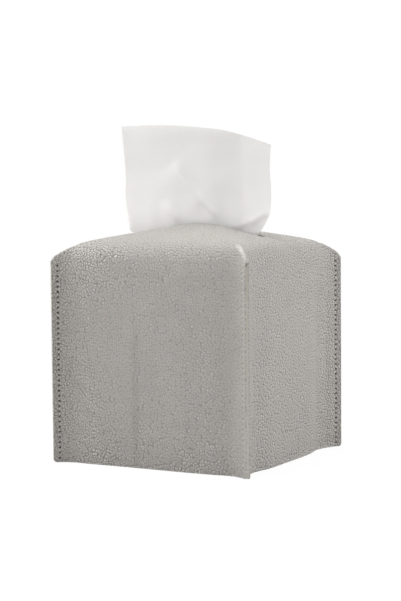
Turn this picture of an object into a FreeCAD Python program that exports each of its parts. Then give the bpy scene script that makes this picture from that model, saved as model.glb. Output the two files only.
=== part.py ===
import FreeCAD, Part
import math
import os

# Leather tissue box cover over a cube carton, millimetres, +Z up.
# The origin is on the table under the middle of the cover, and the front wall faces -Y.

# Cover: one piece of leather with a bonded lining, which stops short of the hem
WALL_SPAN = 130.0
SHOULDER_HEIGHT = 127.0
SHOULDER_RADIUS = 16.0
CROWN_RISE = 8.0
LEATHER_THICKNESS = 0.9
LINING_THICKNESS = 0.5
LINING_HEM_RISE = 0.6

# Corner fins: two wall edges sewn wrong sides together, raw edges outwards
FIN_TOP_DROP = 2.0
FIN_SLIT = 0.1
FIN_WEB_RADIUS = 7.0
FIN_FOLD_ROOT = 12.0
FIN_FOLD_RISE_SHARE = 0.78
FIN_FOLD_END_SHARE = 0.2

# Stitches
STITCH_PITCH = 3.3
STITCH_EDGE_DISTANCE = 3.9
STITCH_FOOT = 2.8
STITCH_TOP_MARGIN = 1.5
THREAD_WIDTH = 0.6
THREAD_HEIGHT = 0.5
THREAD_DIP = 0.24
THREAD_LEG = 0.5
NEEDLE_CLEARANCE = 0.12

# Slot in the crown
SLOT_LENGTH = 94.0
SLOT_WIDTH = 5.0

# Belt under the carton, with hook pads that meet loop patches sewn inside two walls
BELT_WIDTH = 25.0
BELT_THICKNESS = 1.6
BELT_FLOOR_CLEARANCE = 0.3
BELT_BEND_RADIUS = 3.4
BELT_END_MARGIN = 0.7
TAPE_THICKNESS = 1.2
TAPE_LENGTH = 19.0
TAPE_CLEARANCE = 0.3
TAPE_CORNER_RADIUS = 1.5
TAPE_STITCH_MARGIN = 1.7
TAPE_STITCH_PITCH = 2.7

# Carton and what is in it
CARTON_BELT_GAP = 2.0
CARTON_SHOULDER_GAP = 1.1
CARTON_BOARD = 0.6
CARTON_EDGE_RADIUS = 1.2
WINDOW_WIDTH = 46.0
WINDOW_END_MARGIN = 3.0
FILM_THICKNESS = 0.15
FILM_MARGIN = 5.0
FILM_SLIT_ROOM = 4.0
STACK_CLEARANCE = 1.9
STACK_HEIGHT = 60.0
STACK_PLY = 0.9
STACK_PLY_COUNT = 24

# Pulled tissue: a folded sheet standing in the slot
TISSUE_THICKNESS = 0.9
TISSUE_END_CLEARANCE = 3.5
TISSUE_SIDE_CLEARANCE = 0.35
TISSUE_LEFT_SPREAD = 17.5
TISSUE_RIGHT_SPREAD = 11.5
TISSUE_RISE = 62.0
TISSUE_TOP_DROP = 11.0
TISSUE_FOLD_WAVE = 4.2
TISSUE_STACK_GAP = 2.0

OVERRUN = 2.0

# Where the folds of the tissue turn, as shares of its width, and which way each one bows
TISSUE_TURN_SHARES = (0.0, 0.22, 0.5, 0.74, 1.0)
TISSUE_BOW_SHARES = (-0.7, 1.0, -0.9, 0.8)
# Height above the slot, spread towards the full reach, and fold depth, up the tissue
TISSUE_RISE_SHARES = (
    (0.06, 0.25, 0.2),
    (0.18, 0.75, 0.5),
    (0.4, 1.0, 0.8),
    (1.0, 1.0, 1.0),
)

CROWN_HEIGHT = SHOULDER_HEIGHT + SHOULDER_RADIUS + CROWN_RISE
WALL_REACH = WALL_SPAN / 2
SHOULDER_REACH = WALL_REACH - SHOULDER_RADIUS
PLY_THICKNESS = LEATHER_THICKNESS + LINING_THICKNESS
NEEDLE_HOLE = math.hypot(THREAD_WIDTH, THREAD_LEG) + NEEDLE_CLEARANCE

FIN_HALF = PLY_THICKNESS + FIN_SLIT / 2
FIN_HEIGHT = SHOULDER_HEIGHT - FIN_TOP_DROP
CORNER_REACH = WALL_REACH * math.sqrt(2)
WEB_CENTRE = math.sqrt(2) * (WALL_REACH + FIN_WEB_RADIUS) - FIN_HALF - FIN_WEB_RADIUS
STITCH_REACH = WEB_CENTRE + THREAD_WIDTH
FIN_TIP = STITCH_REACH + STITCH_EDGE_DISTANCE
FOLD_RISE = FIN_FOLD_RISE_SHARE * SHOULDER_RADIUS
FOLD_TOP = SHOULDER_HEIGHT + FOLD_RISE
FOLD_TOP_REACH = math.sqrt(2) * (SHOULDER_REACH + math.sqrt(SHOULDER_RADIUS**2 - FOLD_RISE**2))

LINING_FACE = WALL_REACH - PLY_THICKNESS
PATCH_FACE = LINING_FACE - TAPE_THICKNESS
HOOK_FACE = PATCH_FACE - TAPE_CLEARANCE
BELT_REACH = HOOK_FACE - TAPE_THICKNESS
BELT_INNER = BELT_REACH - BELT_THICKNESS
BELT_TOP = BELT_FLOOR_CLEARANCE + BELT_THICKNESS
BEND_TOP = BELT_FLOOR_CLEARANCE + BELT_BEND_RADIUS
TAPE_FOOT = BEND_TOP + THREAD_WIDTH - TAPE_STITCH_MARGIN
BELT_END = TAPE_FOOT + TAPE_LENGTH + BELT_END_MARGIN

CARTON_REACH = BELT_REACH - BELT_BEND_RADIUS - CARTON_BELT_GAP
CARTON_TOP = SHOULDER_HEIGHT - CARTON_SHOULDER_GAP
CARTON_FLOOR = BELT_TOP + CARTON_BOARD
CARTON_CEILING = CARTON_TOP - CARTON_BOARD
STACK_REACH = CARTON_REACH - CARTON_BOARD - STACK_CLEARANCE
STACK_TOP = CARTON_FLOOR + STACK_HEIGHT
TAIL_REACH = (SLOT_LENGTH - SLOT_WIDTH) / 2 - TISSUE_END_CLEARANCE
TAIL_WAVE = (SLOT_WIDTH - TISSUE_THICKNESS) / 2 - TISSUE_SIDE_CLEARANCE
FILM_SLIT_LENGTH = 2 * (TAIL_REACH + FILM_SLIT_ROOM)
WINDOW_LENGTH = FILM_SLIT_LENGTH + 2 * WINDOW_END_MARGIN

# Each corner of the cover by name, with the direction of its fin in degrees
CORNERS = {"front_right": -45, "back_right": 45, "back_left": 135, "front_left": 225}
# Each wall that the belt meets, with the direction it faces in degrees
SIDES = {"right": 0, "left": 180}

UP = FreeCAD.Vector(0, 0, 1)
ORIGIN = FreeCAD.Vector(0, 0, 0)


def place(angle, along, across, height):
    """Point at a distance along a direction and across it, at a height."""
    turn = math.radians(angle)
    return FreeCAD.Vector(
        along * math.cos(turn) - across * math.sin(turn),
        along * math.sin(turn) + across * math.cos(turn),
        height,
    )


def line(start, end):
    return Part.LineSegment(start, end).toShape()


def arc(start, middle, end):
    return Part.Arc(start, middle, end).toShape()


def filled(edges):
    """Face inside a closed chain of edges."""
    return Part.Face(Part.Wire(edges))


def block(x_range, y_range, z_range):
    """Box between two limits on each axis."""
    size = [high - low for low, high in (x_range, y_range, z_range)]
    return Part.makeBox(*size, FreeCAD.Vector(x_range[0], y_range[0], z_range[0]))


def edges_along(solid, direction):
    """Edges of a block that run along a direction."""
    return [edge for edge in solid.Edges if abs(edge.tangentAt(0).dot(direction)) > 0.5]


def stadium(length, width, low, high):
    """Upright prism with round ends, along X over the origin."""
    end = width / 2
    run = length / 2 - end
    edges = [
        line(FreeCAD.Vector(-run, -end, low), FreeCAD.Vector(run, -end, low)),
        arc(
            FreeCAD.Vector(run, -end, low),
            FreeCAD.Vector(run + end, 0, low),
            FreeCAD.Vector(run, end, low),
        ),
        line(FreeCAD.Vector(run, end, low), FreeCAD.Vector(-run, end, low)),
        arc(
            FreeCAD.Vector(-run, end, low),
            FreeCAD.Vector(-run - end, 0, low),
            FreeCAD.Vector(-run, -end, low),
        ),
    ]
    return filled(edges).extrude(UP * (high - low))


def loaf(inset, floor):
    """Prism along Y with straight sides, round shoulders and an arched crown."""
    reach = WALL_REACH - inset
    drop = CROWN_HEIGHT - SHOULDER_HEIGHT
    crown_radius = (drop**2 + SHOULDER_REACH**2 - SHOULDER_RADIUS**2) / (2 * CROWN_RISE)
    crown_z = CROWN_HEIGHT - crown_radius
    lean = math.asin(SHOULDER_REACH / (crown_radius - SHOULDER_RADIUS))
    shoulder = SHOULDER_RADIUS - inset
    crown = crown_radius - inset
    half_turn = (math.pi / 2 + lean) / 2

    def at(x, z):
        return FreeCAD.Vector(x, -WALL_REACH, z)

    def on_shoulder(side, turn):
        return at(
            side * (SHOULDER_REACH + shoulder * math.sin(turn)),
            SHOULDER_HEIGHT + shoulder * math.cos(turn),
        )

    top = at(0, crown_z + crown)
    edges = [
        line(at(-reach, floor), at(reach, floor)),
        line(at(reach, floor), at(reach, SHOULDER_HEIGHT)),
        arc(at(reach, SHOULDER_HEIGHT), on_shoulder(1, half_turn), on_shoulder(1, lean)),
        arc(on_shoulder(1, lean), top, on_shoulder(-1, lean)),
        arc(on_shoulder(-1, lean), on_shoulder(-1, half_turn), at(-reach, SHOULDER_HEIGHT)),
        line(at(-reach, SHOULDER_HEIGHT), at(-reach, floor)),
    ]
    return filled(edges).extrude(FreeCAD.Vector(0, WALL_SPAN, 0))


def crown(inset, floor):
    """Domed top above the fins: two loaf shapes crossed, so that ridges run to the corners."""
    along_y = loaf(inset, floor)
    along_x = along_y.copy()
    along_x.rotate(ORIGIN, UP, 90)
    return along_y.common(along_x)


def fin_edges(angle, inset, tip, place_point):
    """Edges of one fin in plan, from the wall before it to the wall after it."""
    half = FIN_HALF - inset
    web = FIN_WEB_RADIUS + inset
    centre = FIN_HALF + FIN_WEB_RADIUS

    def on_web(side, turn):
        bend = math.radians(turn)
        return place_point(
            angle, WEB_CENTRE + web * math.cos(bend), side * (centre - web * math.sin(bend))
        )

    wall_turn, middle_turn, fin_turn = 135, 112.5, 90
    tips = [place_point(angle, tip, side * half) for side in (-1, 1)]
    return [
        arc(on_web(-1, wall_turn), on_web(-1, middle_turn), on_web(-1, fin_turn)),
        line(on_web(-1, fin_turn), tips[0]),
        line(tips[0], tips[1]),
        line(tips[1], on_web(1, fin_turn)),
        arc(on_web(1, fin_turn), on_web(1, middle_turn), on_web(1, wall_turn)),
    ]


def end_point(edge, last):
    return edge.valueAt(edge.LastParameter if last else edge.FirstParameter)


def walls(inset, tip, floor):
    """Solid inside the four walls and their fins, up to the top of the fins."""

    def on_floor(angle, along, across):
        return place(angle, along, across, floor)

    chains = [fin_edges(angle, inset, tip, on_floor) for angle in CORNERS.values()]
    edges = []
    for chain, following in zip(chains, chains[1:] + chains[:1]):
        edges += chain
        edges.append(line(end_point(chain[-1], True), end_point(following[0], False)))
    return filled(edges).extrude(UP * (FIN_HEIGHT - floor))


def fold(angle, inset):
    """Pinched fold that carries a fin's edge up into the ridge of the crown."""
    tip = FIN_TIP - inset

    def at_foot(turn, along, across):
        return place(turn, along, across, FIN_HEIGHT)

    def at_top(turn, along, across):
        narrowed = FOLD_TOP_REACH + FIN_FOLD_END_SHARE * (along - FIN_TIP)
        return place(turn, narrowed, FIN_FOLD_END_SHARE * across, FOLD_TOP - inset)

    wires = []
    for place_point in (at_foot, at_top):
        edges = fin_edges(angle, inset, tip, place_point)
        root = place_point(angle, CORNER_REACH - FIN_FOLD_ROOT, 0)
        edges.append(line(end_point(edges[-1], True), root))
        edges.append(line(root, end_point(edges[0], False)))
        wires.append(Part.Wire(edges))
    return Part.makeLoft(wires, True, True)


def cover_form(inset, tip, floor):
    """Whole form of the cover inside a surface set in from the leather's outer face."""
    folds = [fold(angle, inset) for angle in CORNERS.values()]
    return walls(inset, tip, floor).fuse([crown(inset, FIN_HEIGHT)] + folds).removeSplitter()


def seam_heights():
    """Heights of the needle holes up one corner seam."""
    run = FIN_HEIGHT - STITCH_TOP_MARGIN - STITCH_FOOT
    count = int(run / STITCH_PITCH)
    return [STITCH_FOOT + step * STITCH_PITCH for step in range(count + 1)]


def seam_holes():
    """Needle holes through all four fins."""
    holes = []
    for angle in CORNERS.values():
        for height in seam_heights():
            start = place(angle, STITCH_REACH, -FIN_HALF - OVERRUN, height)
            length = 2 * (FIN_HALF + OVERRUN)
            across = place(angle, 0, 1, 0)
            holes.append(Part.makeCylinder(NEEDLE_HOLE / 2, length, start, across))
    return Part.makeCompound(holes)


def thread(steps, leg_depth):
    """Row of stitches along X on a surface at z 0: one thread that dips at each hole.

    The legs go down into the holes, and between two holes the thread lies on the surface.
    """
    half_leg = THREAD_LEG / 2
    half_width = THREAD_WIDTH / 2

    def at(x, z):
        return FreeCAD.Vector(x, -half_width, z)

    low = THREAD_HEIGHT - THREAD_DIP
    edges = [line(at(steps[0] - half_leg, 0), at(steps[0] - half_leg, low))]
    ends = [steps[0] - half_leg] + steps[1:-1] + [steps[-1] + half_leg]
    for start, end in zip(ends, ends[1:]):
        edges.append(arc(at(start, low), at((start + end) / 2, THREAD_HEIGHT), at(end, low)))
    edges.append(line(at(ends[-1], low), at(ends[-1], 0)))
    points = [at(ends[-1], 0)]
    for step in reversed(steps):
        points += [at(step + half_leg, -leg_depth), at(step - half_leg, -leg_depth)]
        points.append(at(step - half_leg, 0))
        if step != steps[0]:
            before = steps[steps.index(step) - 1]
            points.append(at(before + half_leg, 0))
    edges += [line(first, second) for first, second in zip(points, points[1:])]
    return filled(edges).extrude(FreeCAD.Vector(0, THREAD_WIDTH, 0))


def set_on(shape, spot, along, outward):
    """Move a shape made along X on z 0 to a spot, with its own axes along and outward."""
    side = outward.cross(along)
    turn = FreeCAD.Matrix(
        along.x, side.x, outward.x, spot.x,
        along.y, side.y, outward.y, spot.y,
        along.z, side.z, outward.z, spot.z,
        0, 0, 0, 1,
    )
    return shape.transformed(turn)


def corner_thread(angle, side):
    """Thread of one corner seam on one face of its fin."""
    row = thread(seam_heights(), PLY_THICKNESS)
    spot = place(angle, STITCH_REACH, side * FIN_HALF, 0)
    return set_on(row, spot, UP, place(angle, 0, side, 0))


def tape_rows():
    """Rows of a tape's box stitch: middle across, middle height, direction and hole places."""
    half_across = BELT_WIDTH / 2 - TAPE_STITCH_MARGIN
    half_up = TAPE_LENGTH / 2 - TAPE_STITCH_MARGIN
    middle = TAPE_FOOT + TAPE_LENGTH / 2
    rows = []
    for sign in (-1, 1):
        rows.append((0, middle + sign * half_up, False, spread(half_across, 0)))
        rows.append((sign * half_across, middle, True, spread(half_up, 1)))
    return rows


def spread(half, skipped):
    """Evenly spaced places from end to end of a row, leaving out some at each end."""
    count = round(2 * half / TAPE_STITCH_PITCH)
    places = [-half + 2 * half * step / count for step in range(count + 1)]
    return places[skipped:len(places) - skipped]


def tape_holes(angle, inner, outer):
    """Needle holes of a box stitch through what lies between two faces of a wall."""
    holes = []
    outward = place(angle, 1, 0, 0)
    for across, height, upright, steps in tape_rows():
        for step in steps:
            spot = (across, height + step) if upright else (across + step, height)
            start = place(angle, inner, *spot)
            holes.append(Part.makeCylinder(NEEDLE_HOLE / 2, outer - inner, start, outward))
    return Part.makeCompound(holes)


def box_stitch(angle, inner, outer):
    """Threads of a box stitch, a row on each face, whose legs meet halfway."""
    legs = (outer - inner - FIN_SLIT) / 2
    rows = []
    for across, height, upright, steps in tape_rows():
        along = UP if upright else place(angle, 0, 1, 0)
        for reach, way in ((outer, 1), (inner, -1)):
            spot = place(angle, reach, across, height)
            rows.append(set_on(thread(steps, legs), spot, along, place(angle, way, 0, 0)))
    return Part.makeCompound(rows)


def tape(angle, inner, groove):
    """Patch of hook or loop tape against a wall, its box stitch sunk into the mating face."""
    half = BELT_WIDTH / 2
    plate = Part.makeBox(TAPE_THICKNESS, BELT_WIDTH, TAPE_LENGTH)
    corner_edges = edges_along(plate, FreeCAD.Vector(1, 0, 0))
    plate = plate.makeFillet(TAPE_CORNER_RADIUS, corner_edges)
    plate = set_on(plate, place(angle, inner, -half, TAPE_FOOT), place(angle, 1, 0, 0), UP)
    grooves = []
    for across, height, upright, steps in tape_rows():
        reach = steps[-1] + NEEDLE_HOLE / 2
        channel = block((-reach, reach), (-NEEDLE_HOLE / 2, NEEDLE_HOLE / 2), (0, THREAD_HEIGHT))
        along = UP if upright else place(angle, 0, 1, 0)
        spot = place(angle, groove, across, height)
        grooves.append(set_on(channel, spot, along, place(angle, 1, 0, 0)))
    return plate.cut(grooves)


def belt_strap():
    """Strap that runs under the carton and turns up at both ends."""
    turn = BELT_REACH - BELT_BEND_RADIUS
    low = BELT_FLOOR_CLEARANCE
    inner_radius = BELT_BEND_RADIUS - BELT_THICKNESS
    slant = math.sqrt(0.5)

    def at(x, z):
        return FreeCAD.Vector(x, -BELT_WIDTH / 2, z)

    def on_bend(side, radius):
        return at(side * (turn + radius * slant), BEND_TOP - radius * slant)

    edges = [
        line(at(-turn, low), at(turn, low)),
        arc(at(turn, low), on_bend(1, BELT_BEND_RADIUS), at(BELT_REACH, BEND_TOP)),
        line(at(BELT_REACH, BEND_TOP), at(BELT_REACH, BELT_END)),
        line(at(BELT_REACH, BELT_END), at(BELT_INNER, BELT_END)),
        line(at(BELT_INNER, BELT_END), at(BELT_INNER, BEND_TOP)),
        arc(at(BELT_INNER, BEND_TOP), on_bend(1, inner_radius), at(turn, BELT_TOP)),
        line(at(turn, BELT_TOP), at(-turn, BELT_TOP)),
        arc(at(-turn, BELT_TOP), on_bend(-1, inner_radius), at(-BELT_INNER, BEND_TOP)),
        line(at(-BELT_INNER, BEND_TOP), at(-BELT_INNER, BELT_END)),
        line(at(-BELT_INNER, BELT_END), at(-BELT_REACH, BELT_END)),
        line(at(-BELT_REACH, BELT_END), at(-BELT_REACH, BEND_TOP)),
        arc(at(-BELT_REACH, BEND_TOP), on_bend(-1, BELT_BEND_RADIUS), at(-turn, low)),
    ]
    return filled(edges).extrude(FreeCAD.Vector(0, BELT_WIDTH, 0))


def rounded_block(reach, z_range, radius):
    """Upright square block with rounded corners, centred over the origin."""
    solid = block((-reach, reach), (-reach, reach), z_range)
    return solid.makeFillet(radius, edges_along(solid, UP))


def carton():
    """Folded board box, closed below, with a long window in its top."""
    shell = rounded_block(CARTON_REACH, (BELT_TOP, CARTON_TOP), CARTON_EDGE_RADIUS)
    room = rounded_block(
        CARTON_REACH - CARTON_BOARD,
        (CARTON_FLOOR, CARTON_CEILING),
        CARTON_EDGE_RADIUS - CARTON_BOARD,
    )
    window = stadium(WINDOW_LENGTH, WINDOW_WIDTH, CARTON_CEILING - OVERRUN, CARTON_TOP + OVERRUN)
    return shell.cut([room, window])


def carton_film():
    """Clear film glued under the window, with a slit for the tissue."""
    low = CARTON_CEILING - FILM_THICKNESS
    half_length = WINDOW_LENGTH / 2 + FILM_MARGIN
    half_width = WINDOW_WIDTH / 2 + FILM_MARGIN
    film = block((-half_length, half_length), (-half_width, half_width), (low, CARTON_CEILING))
    return film.cut(stadium(FILM_SLIT_LENGTH, SLOT_WIDTH, low - OVERRUN, CARTON_TOP))


def tissue_stack():
    """Pile of interleaved tissues: plies that turn back at alternate sides."""
    span = (-STACK_REACH, STACK_REACH)
    pile = block(span, span, (CARTON_FLOOR, STACK_TOP))
    pitch = (STACK_HEIGHT - STACK_PLY) / (STACK_PLY_COUNT - 1)
    gaps = []
    for step in range(STACK_PLY_COUNT - 1):
        low = CARTON_FLOOR + step * pitch + STACK_PLY
        side = 1 if step % 2 else -1
        ends = sorted((side * (STACK_REACH + OVERRUN), -side * (STACK_REACH - STACK_PLY)))
        across = (-STACK_REACH - OVERRUN, STACK_REACH + OVERRUN)
        gaps.append(block(ends, across, (low, low + pitch - STACK_PLY)))
    return pile.cut(gaps)


def tissue_section(left, right, wave, height, drop):
    """Closed outline of the tissue at one height: bowed folds, one after the other."""
    width = left + right
    half = TISSUE_THICKNESS / 2

    def at(share, bow, side):
        x = -left + share * width
        return FreeCAD.Vector(x, bow * wave + side * half, height - drop * share)

    spans = list(zip(TISSUE_TURN_SHARES, TISSUE_TURN_SHARES[1:], TISSUE_BOW_SHARES))
    front = [
        arc(at(start, 0, -1), at((start + end) / 2, bow, -1), at(end, 0, -1))
        for start, end, bow in spans
    ]
    back = [
        arc(at(end, 0, 1), at((start + end) / 2, bow, 1), at(start, 0, 1))
        for start, end, bow in reversed(spans)
    ]
    first, last = TISSUE_TURN_SHARES[0], TISSUE_TURN_SHARES[-1]
    right_end = line(at(last, 0, -1), at(last, 0, 1))
    left_end = line(at(first, 0, 1), at(first, 0, -1))
    return Part.Wire(front + [right_end] + back + [left_end])


def pulled_tissue():
    """Tissue that stands in the slot: a straight tail below it, folds that open above it."""
    tail = (TAIL_REACH, TAIL_REACH, TAIL_WAVE)
    foot = STACK_TOP + TISSUE_STACK_GAP
    sections = [tissue_section(*tail, height, 0) for height in (foot, CROWN_HEIGHT)]
    for height_share, spread_share, wave_share in TISSUE_RISE_SHARES:
        left = TAIL_REACH + spread_share * TISSUE_LEFT_SPREAD
        right = TAIL_REACH + spread_share * TISSUE_RIGHT_SPREAD
        wave = TAIL_WAVE + wave_share * (TISSUE_FOLD_WAVE - TAIL_WAVE)
        height = CROWN_HEIGHT + height_share * TISSUE_RISE
        sections.append(tissue_section(left, right, wave, height, height_share * TISSUE_TOP_DROP))
    return Part.makeLoft(sections, True, True)


def build():
    """Every piece of the cover and its carton, by name."""
    past_tip = FIN_TIP + OVERRUN
    slot = stadium(SLOT_LENGTH, SLOT_WIDTH, SHOULDER_HEIGHT, CROWN_HEIGHT + OVERRUN)
    wall_holes = [
        tape_holes(angle, LINING_FACE - OVERRUN, WALL_REACH + OVERRUN) for angle in SIDES.values()
    ]
    cuts = [slot, seam_holes()] + wall_holes
    form = cover_form(0, FIN_TIP, 0)
    lined = cover_form(LEATHER_THICKNESS, FIN_TIP, LINING_HEM_RISE)
    lined_cut = cover_form(LEATHER_THICKNESS, past_tip, -OVERRUN)
    inside = cover_form(PLY_THICKNESS, past_tip, -OVERRUN)

    pieces = {
        "outer_leather": form.cut(lined_cut).cut(cuts),
        "lining": lined.cut(inside).cut(cuts),
    }
    for name, angle in CORNERS.items():
        pieces["needle_thread_" + name] = corner_thread(angle, 1)
        pieces["bobbin_thread_" + name] = corner_thread(angle, -1)

    strap = belt_strap()
    for name, angle in SIDES.items():
        patch = tape(angle, PATCH_FACE, PATCH_FACE)
        pieces["loop_patch_" + name] = patch.cut(tape_holes(angle, PATCH_FACE, LINING_FACE))
        sunk_face = PATCH_FACE + THREAD_HEIGHT
        pieces["loop_patch_thread_" + name] = box_stitch(angle, sunk_face, WALL_REACH)
        sunk_face = HOOK_FACE - THREAD_HEIGHT
        pad = tape(angle, BELT_REACH, sunk_face)
        pieces["hook_pad_" + name] = pad.cut(tape_holes(angle, BELT_REACH, HOOK_FACE))
        pieces["hook_pad_thread_" + name] = box_stitch(angle, BELT_INNER, sunk_face)
        strap = strap.cut(tape_holes(angle, BELT_INNER, BELT_REACH))
    pieces["belt_strap"] = strap

    pieces["carton"] = carton()
    pieces["carton_film"] = carton_film()
    pieces["tissue_stack"] = tissue_stack()
    pieces["pulled_tissue"] = pulled_tissue()
    return pieces


def main():
    os.makedirs("parts", exist_ok=True)
    for name, shape in build().items():
        solids = len(shape.Solids)
        print(f"{name}: {solids} solids, {shape.Volume:.1f} mm3, valid {shape.isValid()}")
        shape.exportStep(f"parts/{name}.step")


main()
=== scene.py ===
import logging
import math
from bisect import bisect_right
from dataclasses import dataclass, field
from enum import Enum
from typing import Iterable, Sequence, Union

import bmesh
import bpy
from mathutils import Matrix, Vector, noise


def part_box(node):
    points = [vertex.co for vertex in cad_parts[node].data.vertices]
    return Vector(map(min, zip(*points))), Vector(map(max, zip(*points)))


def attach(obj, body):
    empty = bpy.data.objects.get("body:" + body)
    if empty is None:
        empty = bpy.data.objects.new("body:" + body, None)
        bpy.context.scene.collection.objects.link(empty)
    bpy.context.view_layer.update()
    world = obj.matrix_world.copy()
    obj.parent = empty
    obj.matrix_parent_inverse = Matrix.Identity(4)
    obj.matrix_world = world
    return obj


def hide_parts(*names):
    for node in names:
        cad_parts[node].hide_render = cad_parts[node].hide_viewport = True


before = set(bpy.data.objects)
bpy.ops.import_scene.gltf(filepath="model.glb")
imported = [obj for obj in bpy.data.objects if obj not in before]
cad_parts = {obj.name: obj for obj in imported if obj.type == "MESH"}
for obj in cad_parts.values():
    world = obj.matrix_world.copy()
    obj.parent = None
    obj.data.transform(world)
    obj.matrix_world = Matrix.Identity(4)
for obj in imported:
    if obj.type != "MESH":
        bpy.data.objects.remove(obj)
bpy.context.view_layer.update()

LOG = logging.getLogger("tissue_cover")
ROOT2 = math.sqrt(2.0)
CRISP_EDGE = 50.0

Colour = tuple[float, float, float]
Value = Union[float, Colour, "Wire"]

TISSUE_TONE: Colour = (0.755, 0.742, 0.73)
TISSUE_PASSING = 0.03


class Wire:
    """A shader socket that can stand in a Python expression."""

    def __init__(self, graph: "Graph", socket: bpy.types.NodeSocket) -> None:
        """Keep the socket and the graph that it belongs to."""
        self.graph = graph
        self.socket = socket

    def _maths(self, operation: str, first: Value, second: Value) -> "Wire":
        """Add one Math node.

        Args:
            operation: the node's operation.
            first: left operand.
            second: right operand.

        Returns:
            The node's value.
        """
        return self.graph.node("ShaderNodeMath", {"operation": operation}, {0: first, 1: second})[0]

    def __add__(self, other: Value) -> "Wire":
        """Sum."""
        return self._maths("ADD", self, other)

    def __radd__(self, other: Value) -> "Wire":
        """Sum, reflected."""
        return self._maths("ADD", other, self)

    def __sub__(self, other: Value) -> "Wire":
        """Difference."""
        return self._maths("SUBTRACT", self, other)

    def __rsub__(self, other: Value) -> "Wire":
        """Difference, reflected."""
        return self._maths("SUBTRACT", other, self)

    def __mul__(self, other: Value) -> "Wire":
        """Product."""
        return self._maths("MULTIPLY", self, other)

    def __rmul__(self, other: Value) -> "Wire":
        """Product, reflected."""
        return self._maths("MULTIPLY", other, self)

    def __pow__(self, other: Value) -> "Wire":
        """Power."""
        return self._maths("POWER", self, other)

    def sine(self) -> "Wire":
        """Sine of an angle in radians."""
        return self._maths("SINE", self, 0.0)

    def least(self, other: Value) -> "Wire":
        """Smaller of two values."""
        return self._maths("MINIMUM", self, other)


class Made:
    """Outputs of a node that was just made, by index or name."""

    def __init__(self, graph: "Graph", node: bpy.types.Node) -> None:
        """Keep the node."""
        self.graph = graph
        self.node = node

    def __getitem__(self, key: Union[int, str]) -> Wire:
        """One output as a wire."""
        return Wire(self.graph, self.node.outputs[key])


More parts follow.
